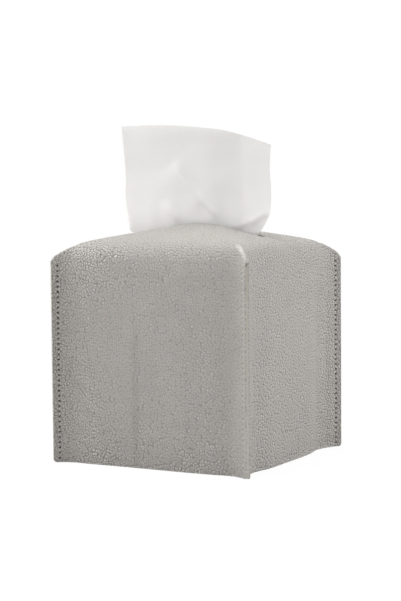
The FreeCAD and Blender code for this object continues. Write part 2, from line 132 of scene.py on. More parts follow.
class Graph:
    """Node tree of one material or of the world, filled through one node method."""

    def __init__(self, name: str, world: bool = False) -> None:
        """Start an empty tree.

        Args:
            name: the material's or world's name.
            world: whether it is a world.
        """
        self.owner = bpy.data.worlds.new(name) if world else bpy.data.materials.new(name)
        self.owner.use_nodes = True
        self.tree = self.owner.node_tree
        self.tree.nodes.clear()
        self.output = "ShaderNodeOutputWorld" if world else "ShaderNodeOutputMaterial"

    def feed(self, socket: bpy.types.NodeSocket, value: Value) -> None:
        """Link a wire to a socket, or set the socket's own value.

        Args:
            socket: the input.
            value: a wire, a number, a colour or a vector.
        """
        if isinstance(value, Wire):
            self.tree.links.new(value.socket, socket)
        elif isinstance(value, tuple) and socket.type == "RGBA":
            socket.default_value = (*value[:3], 1.0)
        else:
            socket.default_value = value

    def node(self, kind: str, settings: dict | None = None, sockets: dict | None = None) -> Made:
        """Make any node.

        Args:
            kind: the node's type.
            settings: its settings, set first.
            sockets: values or links of its inputs, by index or name.

        Returns:
            The node's outputs.
        """
        made = self.tree.nodes.new(kind)
        for key, value in (settings or {}).items():
            setattr(made, key, value)
        for key, value in (sockets or {}).items():
            self.feed(made.inputs[key], value)
        return Made(self, made)

    def place(self) -> Wire:
        """Place on the object at rest, in metres."""
        return self.node("ShaderNodeTexCoord")["Object"]

    def axes(self, place: Wire) -> Made:
        """The three numbers of a place."""
        return self.node("ShaderNodeSeparateXYZ", None, {0: place})

    def noise(self, place: Wire, grain: float, detail: float = 2.0, rough: float = 0.5) -> Made:
        """Noise texture.

        Args:
            place: where it is read.
            grain: size of its features, in metres.
            detail: number of finer layers.
            rough: share of the finer layers.

        Returns:
            The texture's outputs.
        """
        return self.node("ShaderNodeTexNoise", None, {
            "Vector": place, "Scale": 1.0 / grain, "Detail": detail, "Roughness": rough})

    def moved(self, place: Wire, drift: Wire, amount: float) -> Wire:
        """Place shifted by a colour, times an amount in metres."""
        reach = (amount, amount, amount)
        return self.node("ShaderNodeVectorMath", {"operation": "MULTIPLY_ADD"}, {
            0: drift, 1: reach, 2: place})[0]

    def stretched(self, place: Wire, scale: tuple[float, float, float]) -> Wire:
        """Place times a factor on each axis."""
        return self.node("ShaderNodeVectorMath", {"operation": "MULTIPLY"}, {0: place, 1: scale})[0]

    def cells(self, place: Wire, size: float, feature: str, flat: bool = False) -> Wire:
        """Voronoi distance over cells of a size in metres, in space or on a flat pattern."""
        return self.node("ShaderNodeTexVoronoi", {
            "feature": feature, "voronoi_dimensions": "2D" if flat else "3D"}, {
            "Vector": place, "Scale": 1.0 / size})["Distance"]

    def eased(self, value: Wire, low: float, high: float) -> Wire:
        """Smooth step from 0 at low to 1 at high."""
        return self.node("ShaderNodeMapRange", {"interpolation_type": "SMOOTHSTEP"}, {
            "Value": value, "From Min": low, "From Max": high})[0]

    def blend(self, share: Value, first: Value, second: Value) -> Wire:
        """Colour between two colours."""
        return self.node("ShaderNodeMix", {"data_type": "RGBA"}, {0: share, 6: first, 7: second})[2]

    def tinted(self, tone: Value, factor: Value) -> Wire:
        """Colour times a grey factor."""
        return self.node("ShaderNodeMix", {"data_type": "RGBA", "blend_type": "MULTIPLY"}, {
            0: 1.0, 6: tone, 7: factor})[2]

    def bump(self, height: Wire, depth: float, strength: float = 1.0) -> Wire:
        """Normal from a height between 0 and 1 over a depth in metres."""
        return self.node("ShaderNodeBump", None, {
            "Height": height, "Distance": depth, "Strength": strength})[0]

    def mask(self, name: str) -> Wire:
        """Value that the mesh carries under a name."""
        return self.node("ShaderNodeAttribute", {"attribute_name": name})["Fac"]

    def pattern(self) -> Wire:
        """Place on the leather laid flat, in metres."""
        return self.node("ShaderNodeAttribute", {"attribute_name": "pattern"})["Vector"]

    def seen(self) -> Wire:
        """1 for rays that should meet plain white: from the camera, a reflection or a clear piece."""
        rays = self.node("ShaderNodeLightPath")
        return 1.0 - (1.0 - rays["Is Camera Ray"]) * (1.0 - rays["Is Glossy Ray"]) * (
            1.0 - rays["Is Transmission Ray"])

    def mixed(self, share: Value, first: Wire, second: Wire) -> Wire:
        """Shader between two shaders."""
        return self.node("ShaderNodeMixShader", None, {0: share, 1: first, 2: second})[0]

    def principled(self, **sockets: Value) -> Wire:
        """Principled surface, with sockets named by words joined with underscores."""
        named = {key.replace("_", " "): value for key, value in sockets.items()}
        return self.node("ShaderNodeBsdfPrincipled", None, named)[0]

    def close(self, surface: Wire) -> Union[bpy.types.Material, bpy.types.World]:
        """Give the surface to the output, and return the material or world."""
        self.node(self.output, None, {"Surface": surface})
        return self.owner


@dataclass(frozen=True)
class PebbleLeather:
    """Grained leather: rounded pebbles between fine valleys, smoother beside the seams. The valleys are
    darker partly in tone and partly in painted shade; painted shade also darkens the leather beside the
    seams, a crease on the front wall and the needle holes, and a painted highlight lightens the corner
    ridges.

    Lengths are in metres. crease_spread and seam_smooth_and_shade_span are squares of distances on the flat
    leather.
    """

    name: str
    tone: Colour
    valley_tone_and_shade: Colour
    pebble: float = 0.0017
    relief: float = 0.0017
    groove: float = 0.24
    speck: float = 0.0006
    mottle: float = 0.022
    crease: float = 0.0057
    crease_spread: float = 0.000010
    crease_wave: float = 0.03
    crease_sway: float = 0.006
    crease_top: tuple[float, float] = (-0.125, -0.095)
    seam_smooth_and_shade_span: tuple[float, float] = (0.0014, 0.0036)
    roughness: float = 0.54

    def _crease_line(self, graph: Graph, flat: Wire, axes: Made) -> Wire:
        """Soft crease down the lower front wall: a dent in the bump and painted shade in the colour.

        Args:
            graph: the material's tree.
            flat: place on the flat leather.
            axes: its numbers.

        Returns:
            1 in the middle of the crease, 0 away from it.
        """
        sway = graph.noise(flat, self.crease_wave)[0] * self.crease_sway
        line = 1.0 - graph.eased((axes[0] + self.crease + sway) ** 2.0, 0.0, self.crease_spread)
        return line * (1.0 - graph.eased(axes[1], *self.crease_top))

    def make(self) -> bpy.types.Material:
        """Build the material."""
        graph = Graph(self.name)
        place = graph.place()
        flat = graph.pattern()
        drift = graph.noise(flat, 4.0 * self.pebble)["Color"]
        bent = graph.moved(flat, drift, 1.4 * self.pebble)
        dome = 1.0 - 1.5 * graph.cells(bent, self.pebble, "F1", True) ** 2.0
        rim = graph.eased(graph.cells(bent, self.pebble, "DISTANCE_TO_EDGE", True), 0.0, self.groove)
        fine = graph.noise(place, self.speck, 3.0)[0]
        cloud = graph.noise(place, self.mottle, 3.0, 0.6)[0]
        axes = graph.axes(flat)
        line = self._crease_line(graph, flat, axes)
        # Beside the seams the grain is smoother and the colour gets painted shade.
        smooth_and_shade_by_seams = graph.eased((axes[0] ** 2.0).least(axes[1] ** 2.0), *self.seam_smooth_and_shade_span)
        grain = 0.6 * dome + 0.3 * rim + 0.14 * fine
        height = grain * (1.0 - 0.55 * smooth_and_shade_by_seams) - 0.45 * line
        # Valleys take a darker colour than pebble tops: partly the grain's own tone, partly painted shade in
        # the valleys.
        tone = graph.blend(rim * 0.6 + 0.4 * dome, self.valley_tone_and_shade, self.tone)
        # Colour: random mottling, a painted highlight on the corner ridges, and painted shade along the front
        # crease and beside the seams.
        shade = 0.94 + 0.12 * cloud + 0.32 * graph.mask("painted_ridge_highlight") - 0.07 * line - 0.22 * smooth_and_shade_by_seams
        return graph.close(graph.principled(
            # Needle holes get painted shade, near black.
            Base_Color=graph.tinted(tone, shade * (1.0 - 0.96 * graph.mask("pit"))),
            Roughness=self.roughness + 0.14 * (1.0 - rim) - 0.08 * cloud,
            Normal=graph.bump(height, self.relief),
            Specular_IOR_Level=0.42,
            Sheen_Weight=0.06,
            Sheen_Roughness=0.5))


@dataclass(frozen=True)
class RawEdge:
    """Cut edge of the leather: fibres that show more up the seams, between two heights."""

    name: str
    tone: Colour
    fibre: Colour
    strand: float = 0.0005
    patch: float = 0.018
    shows: tuple[float, float] = (0.08, 0.115)
    relief: float = 0.00018

    def make(self) -> bpy.types.Material:
        """Build the material."""
        graph = Graph(self.name)
        place = graph.place()
        strands = graph.noise(graph.stretched(place, (1.0, 1.0, 0.25)), self.strand, 4.0, 0.65)[0]
        patches = graph.eased(graph.noise(place, self.patch, 2.0)[0], 0.4, 0.72)
        upper = graph.eased(graph.axes(place)[2], *self.shows)
        tone = graph.blend(patches * (0.15 + 0.6 * upper) + 0.25 * strands, self.tone, self.fibre)
        return graph.close(graph.principled(
            Base_Color=tone,
            Roughness=0.78 + 0.14 * strands,
            Normal=graph.bump(strands, self.relief)))


@dataclass(frozen=True)
class BackingCloth:
    """Brushed cloth on the back of the leather: fine cross weave under a short nap."""

    name: str
    tone: Colour
    thread: float = 0.0006
    fluff: float = 0.0007
    mottle: float = 0.02
    relief: float = 0.0002

    def make(self) -> bpy.types.Material:
        """Build the material."""
        graph = Graph(self.name)
        place = graph.place()
        nap = graph.noise(place, self.fluff, 5.0, 0.7)[0]
        cloud = graph.noise(place, self.mottle, 3.0)[0]
        turns = 2.0 * math.pi / self.thread
        axes = graph.axes(place)
        weave = ((axes[0] + axes[1]) * turns).sine() * (axes[2] * turns).sine()
        height = 0.5 + 0.2 * weave + 0.5 * nap
        shade = 0.84 + 0.14 * nap + 0.08 * cloud + 0.05 * weave
        return graph.close(graph.principled(
            Base_Color=graph.tinted(self.tone, shade),
            Roughness=0.9 + 0.08 * nap,
            Normal=graph.bump(height, self.relief),
            Sheen_Weight=0.25,
            Sheen_Roughness=0.6))


@dataclass(frozen=True)
class SewingThread:
    """Twisted thread: slanted plies with a dull shine, and painted shade where it goes into the leather."""

    name: str
    tone: Colour
    hair: float = 0.00012
    relief: float = 0.00006

    def make(self) -> bpy.types.Material:
        """Build the material."""
        graph = Graph(self.name)
        fluff = graph.noise(graph.place(), self.hair, 3.0)[0]
        # The sunk value gives the thread painted shade where it goes into a hole.
        shade = (0.72 + 0.3 * graph.mask("ply") + 0.12 * fluff) * (1.0 - 0.9 * graph.mask("sunk"))
        return graph.close(graph.principled(
            Base_Color=graph.tinted(self.tone, shade),
            Roughness=0.62 + 0.2 * fluff,
            Normal=graph.bump(fluff, self.relief),
            Sheen_Weight=0.2))


@dataclass(frozen=True)
class NeedleHoleShade:
    """Painted shade of a needle hole in the leather: near black with a few loose fibres."""

    name: str
    tone: Colour
    hair: float = 0.00015
    relief: float = 0.0001

    def make(self) -> bpy.types.Material:
        """Build the material."""
        graph = Graph(self.name)
        fibres = graph.noise(graph.place(), self.hair, 3.0)[0]
        return graph.close(graph.principled(
            Base_Color=graph.tinted(self.tone, 0.5 + fibres),
            Roughness=0.85 + 0.1 * fibres,
            Normal=graph.bump(fibres, self.relief)))


class Pile(Enum):
    """Which half of a touch fastener a tape is."""

    LOOP = "loop"
    HOOK = "hook"


@dataclass(frozen=True)
class FastenerTape:
    """Touch fastener tape: tangled loops, or a woven ground for rows of hooks."""

    name: str
    tone: Colour
    pile: Pile
    curl: float = 0.0012
    loop: float = 0.0007
    weave: float = 0.0009
    mottle: float = 0.004
    relief: float = 0.0004

    def make(self) -> bpy.types.Material:
        """Build the material."""
        graph = Graph(self.name)
        place = graph.place()
        if self.pile is Pile.LOOP:
            curled = graph.moved(place, graph.noise(place, self.curl)["Color"], self.curl)
            height = 1.0 - graph.eased(graph.cells(curled, self.loop, "DISTANCE_TO_EDGE"), 0.0, 0.24)
        else:
            axes = graph.axes(place)
            turns = 2.0 * math.pi / self.weave
            height = (axes[1] * turns).sine() * (axes[2] * turns).sine() * 0.5 + 0.5
        cloud = graph.noise(place, self.mottle, 3.0)[0]
        return graph.close(graph.principled(
            Base_Color=graph.tinted(self.tone, 0.6 + 0.45 * height + 0.12 * cloud),
            Roughness=0.7 + 0.2 * cloud,
            Normal=graph.bump(height, self.relief)))


@dataclass(frozen=True)
class CartonBoard:
    """Plain white board: smooth coated face with faint fibres, and a flap line on its underside.

    base is the underside's height, and seam the square of the flap line's half width.
    """

    name: str
    tone: Colour
    base: float
    strand: float = 0.0011
    mottle: float = 0.03
    seam: float = 0.0000012
    seam_rise: float = 0.0003
    relief: float = 0.00012

    def make(self) -> bpy.types.Material:
        """Build the material."""
        graph = Graph(self.name)
        place = graph.place()
        fibre = graph.noise(graph.stretched(place, (1.0, 1.0, 0.3)), self.strand, 4.0, 0.6)[0]
        cloud = graph.noise(place, self.mottle, 2.0)[0]
        axes = graph.axes(place)
        fold = graph.eased(axes[1] ** 2.0, 0.0, self.seam)
        above = graph.eased(axes[2], self.base, self.base + self.seam_rise)
        flap = 1.0 - (1.0 - fold) * (1.0 - above)
        shade = (0.93 + 0.06 * fibre + 0.04 * cloud) * (0.55 + 0.45 * flap)
        return graph.close(graph.principled(
            Base_Color=graph.tinted(self.tone, shade),
            Roughness=0.55 + 0.2 * fibre,
            Normal=graph.bump(fibre * 0.6 + flap * 0.4, self.relief)))


@dataclass(frozen=True)
class ClearFilm:
    """Clear window film: faint haze and small wrinkles."""

    name: str
    tone: Colour
    wrinkle: float = 0.014
    relief: float = 0.0012

    def make(self) -> bpy.types.Material:
        """Build the material."""
        graph = Graph(self.name)
        wrinkle = graph.noise(graph.place(), self.wrinkle, 3.0)[0]
        return graph.close(graph.principled(
            Base_Color=self.tone,
            Roughness=0.12 + 0.16 * wrinkle,
            Alpha=0.16 + 0.16 * wrinkle,
            Normal=graph.bump(wrinkle, self.relief)))


@dataclass(frozen=True)
class TissuePaper:
    """Soft thin tissue: crepe lines, small clouds of fibre, light that passes through."""

    name: str
    tone: Colour
    passing: float
    crinkle: float = 0.0011
    mottle: float = 0.011
    relief: float = 0.0002

    def make(self) -> bpy.types.Material:
        """Build the material."""
        graph = Graph(self.name)
        place = graph.place()
        crepe = graph.noise(graph.stretched(place, (0.35, 1.0, 1.6)), self.crinkle, 3.0, 0.6)[0]
        cloud = graph.noise(place, self.mottle, 4.0, 0.6)[0]
        tone = graph.tinted(self.tone, 0.965 + 0.03 * crepe + 0.04 * cloud)
        normal = graph.bump(crepe * 0.6 + cloud * 0.4, self.relief, 0.6)
        face = graph.principled(
            Base_Color=tone, Roughness=0.86 + 0.1 * crepe, Normal=normal,
            Specular_IOR_Level=0.2, Sheen_Weight=0.1)
        through = graph.node("ShaderNodeBsdfTranslucent", None, {"Color": tone, "Normal": normal})[0]
        return graph.close(graph.mixed(self.passing + 0.04 * cloud, face, through))


@dataclass(frozen=True)
class StudioFloor:
    """Pale floor: white to the camera with a soft shadow, open from below."""

    name: str = "studio_floor"
    tone: Colour = (0.9, 0.9, 0.9)
    glow: float = 0.9
    near: float = 0.15
    far: float = 0.5

    def make(self) -> bpy.types.Material:
        """Build the material."""
        graph = Graph(self.name)
        axes = graph.axes(graph.place())
        away = graph.eased((axes[0] ** 2.0 + axes[1] ** 2.0) ** 0.5, self.near, self.far)
        glow = self.glow + (1.0 - self.glow) * away
        matt = graph.node("ShaderNodeBsdfDiffuse", None, {"Color": self.tone})[0]
        white = graph.node("ShaderNodeEmission", None, {"Color": (1.0, 1.0, 1.0), "Strength": 1.0})[0]
        front = graph.mixed(graph.seen() * glow, matt, white)
        clear = graph.node("ShaderNodeBsdfTransparent")[0]
        back = graph.node("ShaderNodeNewGeometry")["Backfacing"]
        return graph.close(graph.mixed(back, front, clear))


@dataclass(frozen=True)
class StudioSky:
    """World: white to the camera, soft light on the object."""

    name: str = "studio_sky"
    strength: float = 0.1

    def make(self) -> bpy.types.World:
        """Build the world."""
        graph = Graph(self.name, world=True)
        soft, white = (
            graph.node("ShaderNodeBackground", None, {"Color": (1.0, 1.0, 1.0), "Strength": level})[0]
            for level in (self.strength, 1.0))
        return graph.close(graph.mixed(graph.seen(), soft, white))


@dataclass(frozen=True)
class Line:
    """Smooth curve of a value through given places, flat beyond its ends."""

    stops: tuple[tuple[float, float], ...]

    def _slope(self, index: int) -> float:
        """Slope at a stop that adds no bumps between its neighbours."""
        if index in (0, len(self.stops) - 1):
            near = 1 if index == 0 else index
            (x0, y0), (x1, y1) = self.stops[near - 1], self.stops[near]
            return (y1 - y0) / (x1 - x0)
        (x0, y0), (x1, y1), (x2, y2) = self.stops[index - 1:index + 2]
        before, after = (y1 - y0) / (x1 - x0), (y2 - y1) / (x2 - x1)
        return 0.0 if before * after <= 0.0 else 2.0 * before * after / (before + after)

    def at(self, x: float) -> float:
        """Value at a place.

        Args:
            x: the place.

        Returns:
            The value there.
        """
        places = [stop[0] for stop in self.stops]
        if x <= places[0]:
            return self.stops[0][1]
        if x >= places[-1]:
            return self.stops[-1][1]
        low = bisect_right(places, x) - 1
        (x0, y0), (x1, y1) = self.stops[low], self.stops[low + 1]
        step = x1 - x0
        t = (x - x0) / step
        rise, fall = self._slope(low) * step, self._slope(low + 1) * step
        return (y0 * (1 + 2 * t) * (1 - t) ** 2 + rise * t * (1 - t) ** 2
                + y1 * t * t * (3 - 2 * t) + fall * t * t * (t - 1))


def ease(low: float, high: float, value: float) -> float:
    """Smooth step from 0 at low to 1 at high."""
    t = min(max((value - low) / (high - low), 0.0), 1.0)
    return t * t * (3.0 - 2.0 * t)


def soft_max(first: float, second: float, width: float) -> float:
    """Larger of two values, rounded over where they are within a width of each other."""
    near = max(width - abs(first - second), 0.0)
    return max(first, second) + (near * near / (4.0 * width) if width > 0.0 else 0.0)


def rounded(radius: float, depth: float) -> float:
    """How far a round corner stands back at a depth from its end."""
    if depth >= radius:
        return 0.0
    return radius - math.sqrt(max(radius * radius - (radius - depth) ** 2, 0.0))


def wander(seed: float, *place: float) -> float:
    """Steady noise between about -1 and 1 at a place of up to two numbers."""
    return noise.noise(Vector((*place, 0.0, 0.0)[:2] + (seed,)))


def mesh_object(name: str, points: Iterable[Vector], faces: Iterable[Sequence[int]],
                closed: bool = False) -> bpy.types.Object:
    """Smooth-shaded mesh object in the row frame.

    Args:
        name: the object's name.
        points: its vertices, in metres.
        faces: vertex indices of each face.
        closed: whether its faces are turned to look outwards.

    Returns:
        The object, in the scene.
    """
    mesh = bpy.data.meshes.new(name)
    mesh.from_pydata([tuple(point) for point in points], [], [tuple(face) for face in faces])
    if closed:
        form = bmesh.new()
        form.from_mesh(mesh)
        bmesh.ops.recalc_face_normals(form, faces=form.faces)
        form.to_mesh(mesh)
        form.free()
    mesh.polygons.foreach_set("use_smooth", [True] * len(mesh.polygons))
    mesh.update()
    made = bpy.data.objects.new(name, mesh)
    bpy.context.scene.collection.objects.link(made)
    return made


def carry(piece: bpy.types.Object, name: str, values: Sequence[float]) -> None:
    """Store one value per vertex on a mesh, for its material to read."""
    layer = piece.data.attributes.new(name, "FLOAT", "POINT")
    layer.data.foreach_set("value", list(values))


def carry_pattern(piece: bpy.types.Object, spots: Sequence[Vector]) -> None:
    """Store each vertex's place on the flat leather, for its material to read."""
    layer = piece.data.attributes.new("pattern", "FLOAT_VECTOR", "POINT")
    layer.data.foreach_set("vector", [value for spot in spots for value in spot])


def dress(piece: bpy.types.Object, finishes: Sequence[bpy.types.Material],
          slots: Sequence[int] | None = None) -> None:
    """Give a piece its materials, and each face its slot.

    Args:
        piece: the piece.
        finishes: its materials in order.
        slots: material index of each face; 0 throughout if left out.
    """
    for finish in finishes:
        piece.data.materials.append(finish)
    if slots is not None:
        piece.data.polygons.foreach_set("material_index", list(slots))


def ring_faces(rings: int, sides: int, first: int = 0) -> list[tuple[int, ...]]:
    """Faces of a closed tube of rings, with both ends filled."""
    faces = [
        (first + i * sides + k, first + i * sides + (k + 1) % sides,
         first + (i + 1) * sides + (k + 1) % sides, first + (i + 1) * sides + k)
        for i in range(rings - 1) for k in range(sides)]
    low = tuple(first + k for k in reversed(range(sides)))
    high = tuple(first + (rings - 1) * sides + k for k in range(sides))
    return faces + [low, high]


def settle(piece: bpy.types.Object, body: str, node: str) -> None:
    """Hand a finished piece over to the frame.

    Args:
        piece: the piece, in place.
        body: the body that it rides on.
        node: the CAD node that it stands for.
    """
    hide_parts(node)
    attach(piece, body)
    LOG.info("%s rides on %s, %d faces", piece.name, body, len(piece.data.polygons))


def smooth_by_angle(piece: bpy.types.Object, degrees: float) -> None:
    """Keep edges sharper than an angle crisp."""
    with bpy.context.temp_override(object=piece, active_object=piece, selected_editable_objects=[piece]):
        bpy.ops.object.shade_smooth_by_angle(angle=math.radians(degrees))


class Side(Enum):
    """The cover's walls in order round it, each with its outward and along directions."""

    FRONT = ((0.0, -1.0), (1.0, 0.0))
    RIGHT = ((1.0, 0.0), (0.0, 1.0))
    BACK = ((0.0, 1.0), (-1.0, 0.0))
    LEFT = ((-1.0, 0.0), (0.0, -1.0))

    def spot(self, along: float, out: float, height: float) -> Vector:
        """Point at a distance along the wall and outwards from the middle."""
        (ox, oy), (ax, ay) = self.value
        return Vector((ax * along + ox * out, ay * along + oy * out, height))


CORNERS = {
    "front_right": (Side.FRONT, Side.RIGHT),
    "back_right": (Side.RIGHT, Side.BACK),
    "back_left": (Side.BACK, Side.LEFT),
    "front_left": (Side.LEFT, Side.FRONT),
}


@dataclass(frozen=True)
class Lockstitch:
    """Row of stitches: pitch, thread and how it lies."""

    pitch: float = 0.0033
    radius: float = 0.00026
    proud: float = 0.00002
    dip: float = 0.0007
    foot: float = 0.0028
    top_margin: float = 0.0015
    hole: float = 0.0004
    brink: float = 0.0007

    def heights(self, fin_height: float) -> list[float]:
        """Heights of the needle holes up one corner seam."""
        count = int((fin_height - self.top_margin - self.foot) / self.pitch + 1e-6)
        return [self.foot + step * self.pitch for step in range(count + 1)]


@dataclass
class CoverShell:
    """Leather cover with its lining: four walls, corner fins and an arched crown in one form.

    front_draw and side_draw are depth, place and width of the hollow beside each fin.
    """

    wall: float = 0.065
    leather: float = 0.0009
    lining: float = 0.0005
    slit: float = 0.0001
    web: float = 0.0052
    fin_top: float = 0.1278
    fin_round: float = 0.002
    stitch_edge: float = 0.0039
    slot_half: float = 0.047
    slot_side: float = 0.0025
    ring: float = 0.0585
    fan: float = 0.8
    lining_hem: float = 0.0006
    ridge_length: int = 11
    wall_columns: int = 17
    crown_rows: int = 26
    plain_rows: int = 40
    seam_end: float = 0.0006
    row_gap: float = 0.0004
    last_open: float = 0.00004
    weld: float = 2e-6
    nose: float = 1.25
    # faint_pit is the painted shade of the front-right seam's needle holes, as a share.
    faint_pit: float = 0.3
    pit_share: float = 0.75
    front_draw: tuple[float, float, float] = (0.0008, 0.0535, 0.0065)
    side_draw: tuple[float, float, float] = (0.0030, 0.0470, 0.0120)
    belly: float = 0.0009
    belly_half: float = 0.055
    belly_top: float = 0.13
    drift: float = 0.00055
    crease_depth: float = 0.0006
    crease_place: float = 0.0142
    crease_width: float = 0.0035
    held_half: float = 0.023
    sag: float = 0.00045
    hem_steps: tuple[float, ...] = (0.0, 0.0003, 0.0008, 0.0014)
    ridge_steps: tuple[float, ...] = (
        0.0, 0.0008, 0.002, 0.0034, 0.0048, 0.0062, 0.0076, 0.009, 0.0102, 0.0112)
    web_shares: tuple[float, ...] = (0.0, 0.17, 0.34, 0.5, 0.66, 0.83)
    tip_gaps: tuple[float, ...] = (0.0019, 0.0008, 0.0003, 0.0)
    painted_ridge_highlight_shares: tuple[float, ...] = (1.0, 0.8, 0.3)
    stitch: Lockstitch = field(default_factory=Lockstitch)
    crown: Line = Line((
        (0.0, 0.1516), (0.008, 0.1507), (0.020, 0.1484), (0.030, 0.1459), (0.040, 0.1437),
        (0.050, 0.1411), (0.0555, 0.1392), (0.0600, 0.1364), (0.0628, 0.1330), (0.0644, 0.1290),
        (0.0650, 0.1240)))
    ridge: Line = Line(((0.1278, 0.0978), (0.1296, 0.0970), (0.1338, 0.0909), (0.1382, 0.0814)))

    def __post_init__(self) -> None:
        """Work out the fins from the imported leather's own reach."""
        self.fin_half = self.leather + self.lining + self.slit / 2.0
        self.fin_tip = ROOT2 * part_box("outer_leather")[1][0] - self.fin_half
        self.stitch_reach = self.fin_tip - self.stitch_edge
        self.holes = self.stitch.heights(self.fin_top - self.seam_end)

    def front_crease(self, along: float, height: float) -> float:
        """How far the soft fold on the lower front wall stands out."""
        offset = along + self.crease_place + 0.002 * wander(9.1, height * 14.0)
        fold = math.exp(-abs(offset) / self.crease_width) * ease(0.0, 0.03, height)
        return self.crease_depth * fold * (1.0 - ease(0.075, 0.115, height))

    def swell(self, side: Side, along: float, height: float) -> float:
        """How far a wall stands out of its plane.

        Args:
            side: the wall.
            along: distance along it from its middle.
            height: height above the table.

        Returns:
            The distance outwards, in metres.
        """
        low = 1.0 - ease(0.06, 0.125, height)
        pull, middle, width = self.front_draw if side is Side.FRONT else self.side_draw
        draw = -pull * math.exp(-((abs(along) - middle) / width) ** 2) * (0.35 + 0.65 * low)
        rise = math.sin(math.pi * min(height / self.belly_top, 1.0))
        belly = self.belly * (1.0 - (along / self.belly_half) ** 2) * rise
        seed = 3.7 * list(Side).index(side)
        drift = self.drift * wander(seed, along * 26.0, height * 20.0)
        crease = self.front_crease(along, height) if side is Side.FRONT else 0.0
        held = 0.0
        if side in (Side.RIGHT, Side.LEFT):
            held = math.exp(-(along / self.held_half) ** 6) * (1.0 - ease(0.024, 0.05, height))
        fade = 1.0 - ease(0.0575, 0.0625, abs(along))
        top = 1.0 - ease(0.118, 0.134, height)
        return (draw + belly + drift + crease) * (1.0 - held) * fade * top

    def reach_at(self, height: float) -> float:
        """Distance of the crown's outline from the middle at a height above the shoulder."""
        low, high = 0.0, self.wall
        for _ in range(40):
            middle = (low + high) / 2.0
            low, high = (middle, high) if self.crown.at(middle) > height else (low, middle)
        return low

    def fin_columns(self) -> list[float]:
        """Distances along the diagonal of the columns of a fin, from the wall to its tip."""
        hole, brink, half = self.stitch_reach, self.stitch.brink, self.stitch.hole
        start = ROOT2 * self.wall - self.fin_half - self.web
        steps = [start + share * (hole - brink - start) for share in self.web_shares]
        steps += [hole - brink, hole - half, hole + half, hole + brink]
        return steps + [self.fin_tip - gap for gap in self.tip_gaps]

    def half_row(self, height: float, reach: float, closed: bool) -> list[tuple[float, float]]:
        """Half of one level outline of a wall, from its middle to the corner.

        Args:
            height: height of the level.
            reach: distance of the wall from the middle.
            closed: whether the two walls meet at the corner on this level.

        Returns:
            Pairs of distance along the wall and outwards.
        """
        columns = self.fin_columns()
        base, tip = columns[0], columns[-1]
        edge = self.ridge.at(height) if closed else self.fin_tip - rounded(self.fin_round, height)
        start = ROOT2 * reach - self.fin_half - self.web
        first = ROOT2 * start - reach
        points = [(first * step / self.wall_columns, reach) for step in range(self.wall_columns)]
        nose = self.nose * self.fin_half
        for column in columns:
            s = start + (column - base) / (tip - base) * (edge - start)
            w = soft_max(ROOT2 * reach - s, self.fin_half, self.web)
            if closed and s > edge - nose:
                turn = (s - edge + nose) / nose
                w *= math.sqrt(max(1.0 - turn * turn, 0.0))
            if closed and column == tip:
                w = 0.0
            points.append(((s - w) / ROOT2, (s + w) / ROOT2))
        return points

    def levels(self, fine: bool) -> list[float]:
        """Heights of the level rows from the hem to the start of the crown."""
        hem = 0.0 if fine else self.lining_hem
        heights = [hem + step for step in self.hem_steps]
        if fine:
            half, brink, between = self.stitch.hole, self.stitch.brink, self.stitch.pitch / 2.0
            for hole in self.holes:
                heights += [hole - brink, hole - half, hole + half, hole + brink, hole + between]
        else:
            heights += [self.fin_top * step / self.plain_rows for step in range(1, self.plain_rows)]
        heights = [height for height in heights if height < self.fin_top - self.row_gap]
        ridge, limit = [self.fin_top + step for step in self.ridge_steps], self.crown.at(self.ring)
        return heights + [self.fin_top - self.last_open] + [height for height in ridge if height < limit]

    def crown_height(self, x: float, y: float, share: float) -> float:
        """Height of the crown over a point; its ridges soften towards the slot."""
        far = soft_max(abs(x), abs(y), 0.0015 + 0.0125 * ease(0.0, 0.7, share))
        sag = self.sag * wander(5.3, x * 24.0, y * 24.0) * ease(0.0, 0.3, share)
        return self.crown.at(far) + sag

    def slot_point(self, side: Side, share: float) -> tuple[float, float]:
        """Point on the slot's edge that a column of a wall runs to.

        Args:
            side: the wall that the column starts from.
            share: place across the wall from -1 to 1.

        Returns:
            Distances along the wall and outwards.
        """
        run = self.slot_half - self.slot_side
        if side in (Side.FRONT, Side.BACK):
            return share * run, self.slot_side
        turn = share * math.pi / 2.0
        return self.slot_side * math.sin(turn), run + self.slot_side * math.cos(turn)

    def crown_rows_of(self, side: Side, last: list[tuple[float, float]]) -> list[list[Vector]]:
        """Rows of the crown from a wall's last level to the slot, fanned along the corner ridges.

        Args:
            side: the wall.
            last: distances along the wall and outwards of its last level.

        Returns:
            The rows.
        """
        half_width = (len(last) - 1) / 2.0
        long_side = side in (Side.FRONT, Side.BACK)
        rows = []
        for step in range(1, self.crown_rows + 1):
            t = step / self.crown_rows
            row = []
            for j, (a, b) in enumerate(last):
                share = max(-1.0, min(1.0, a / self.ring)) if long_side else (j - half_width) / half_width
                sa, sb = self.slot_point(side, share)
                early, middle, late = (1.0 - t) ** 2, 2.0 * t * (1.0 - t) * self.fan, t * t
                point = side.spot((early + middle) * a + late * sa, (early + middle) * b + late * sb, 0.0)
                point.z = self.crown_height(point.x, point.y, t)
                row.append(point)
            rows.append(row)
        return rows

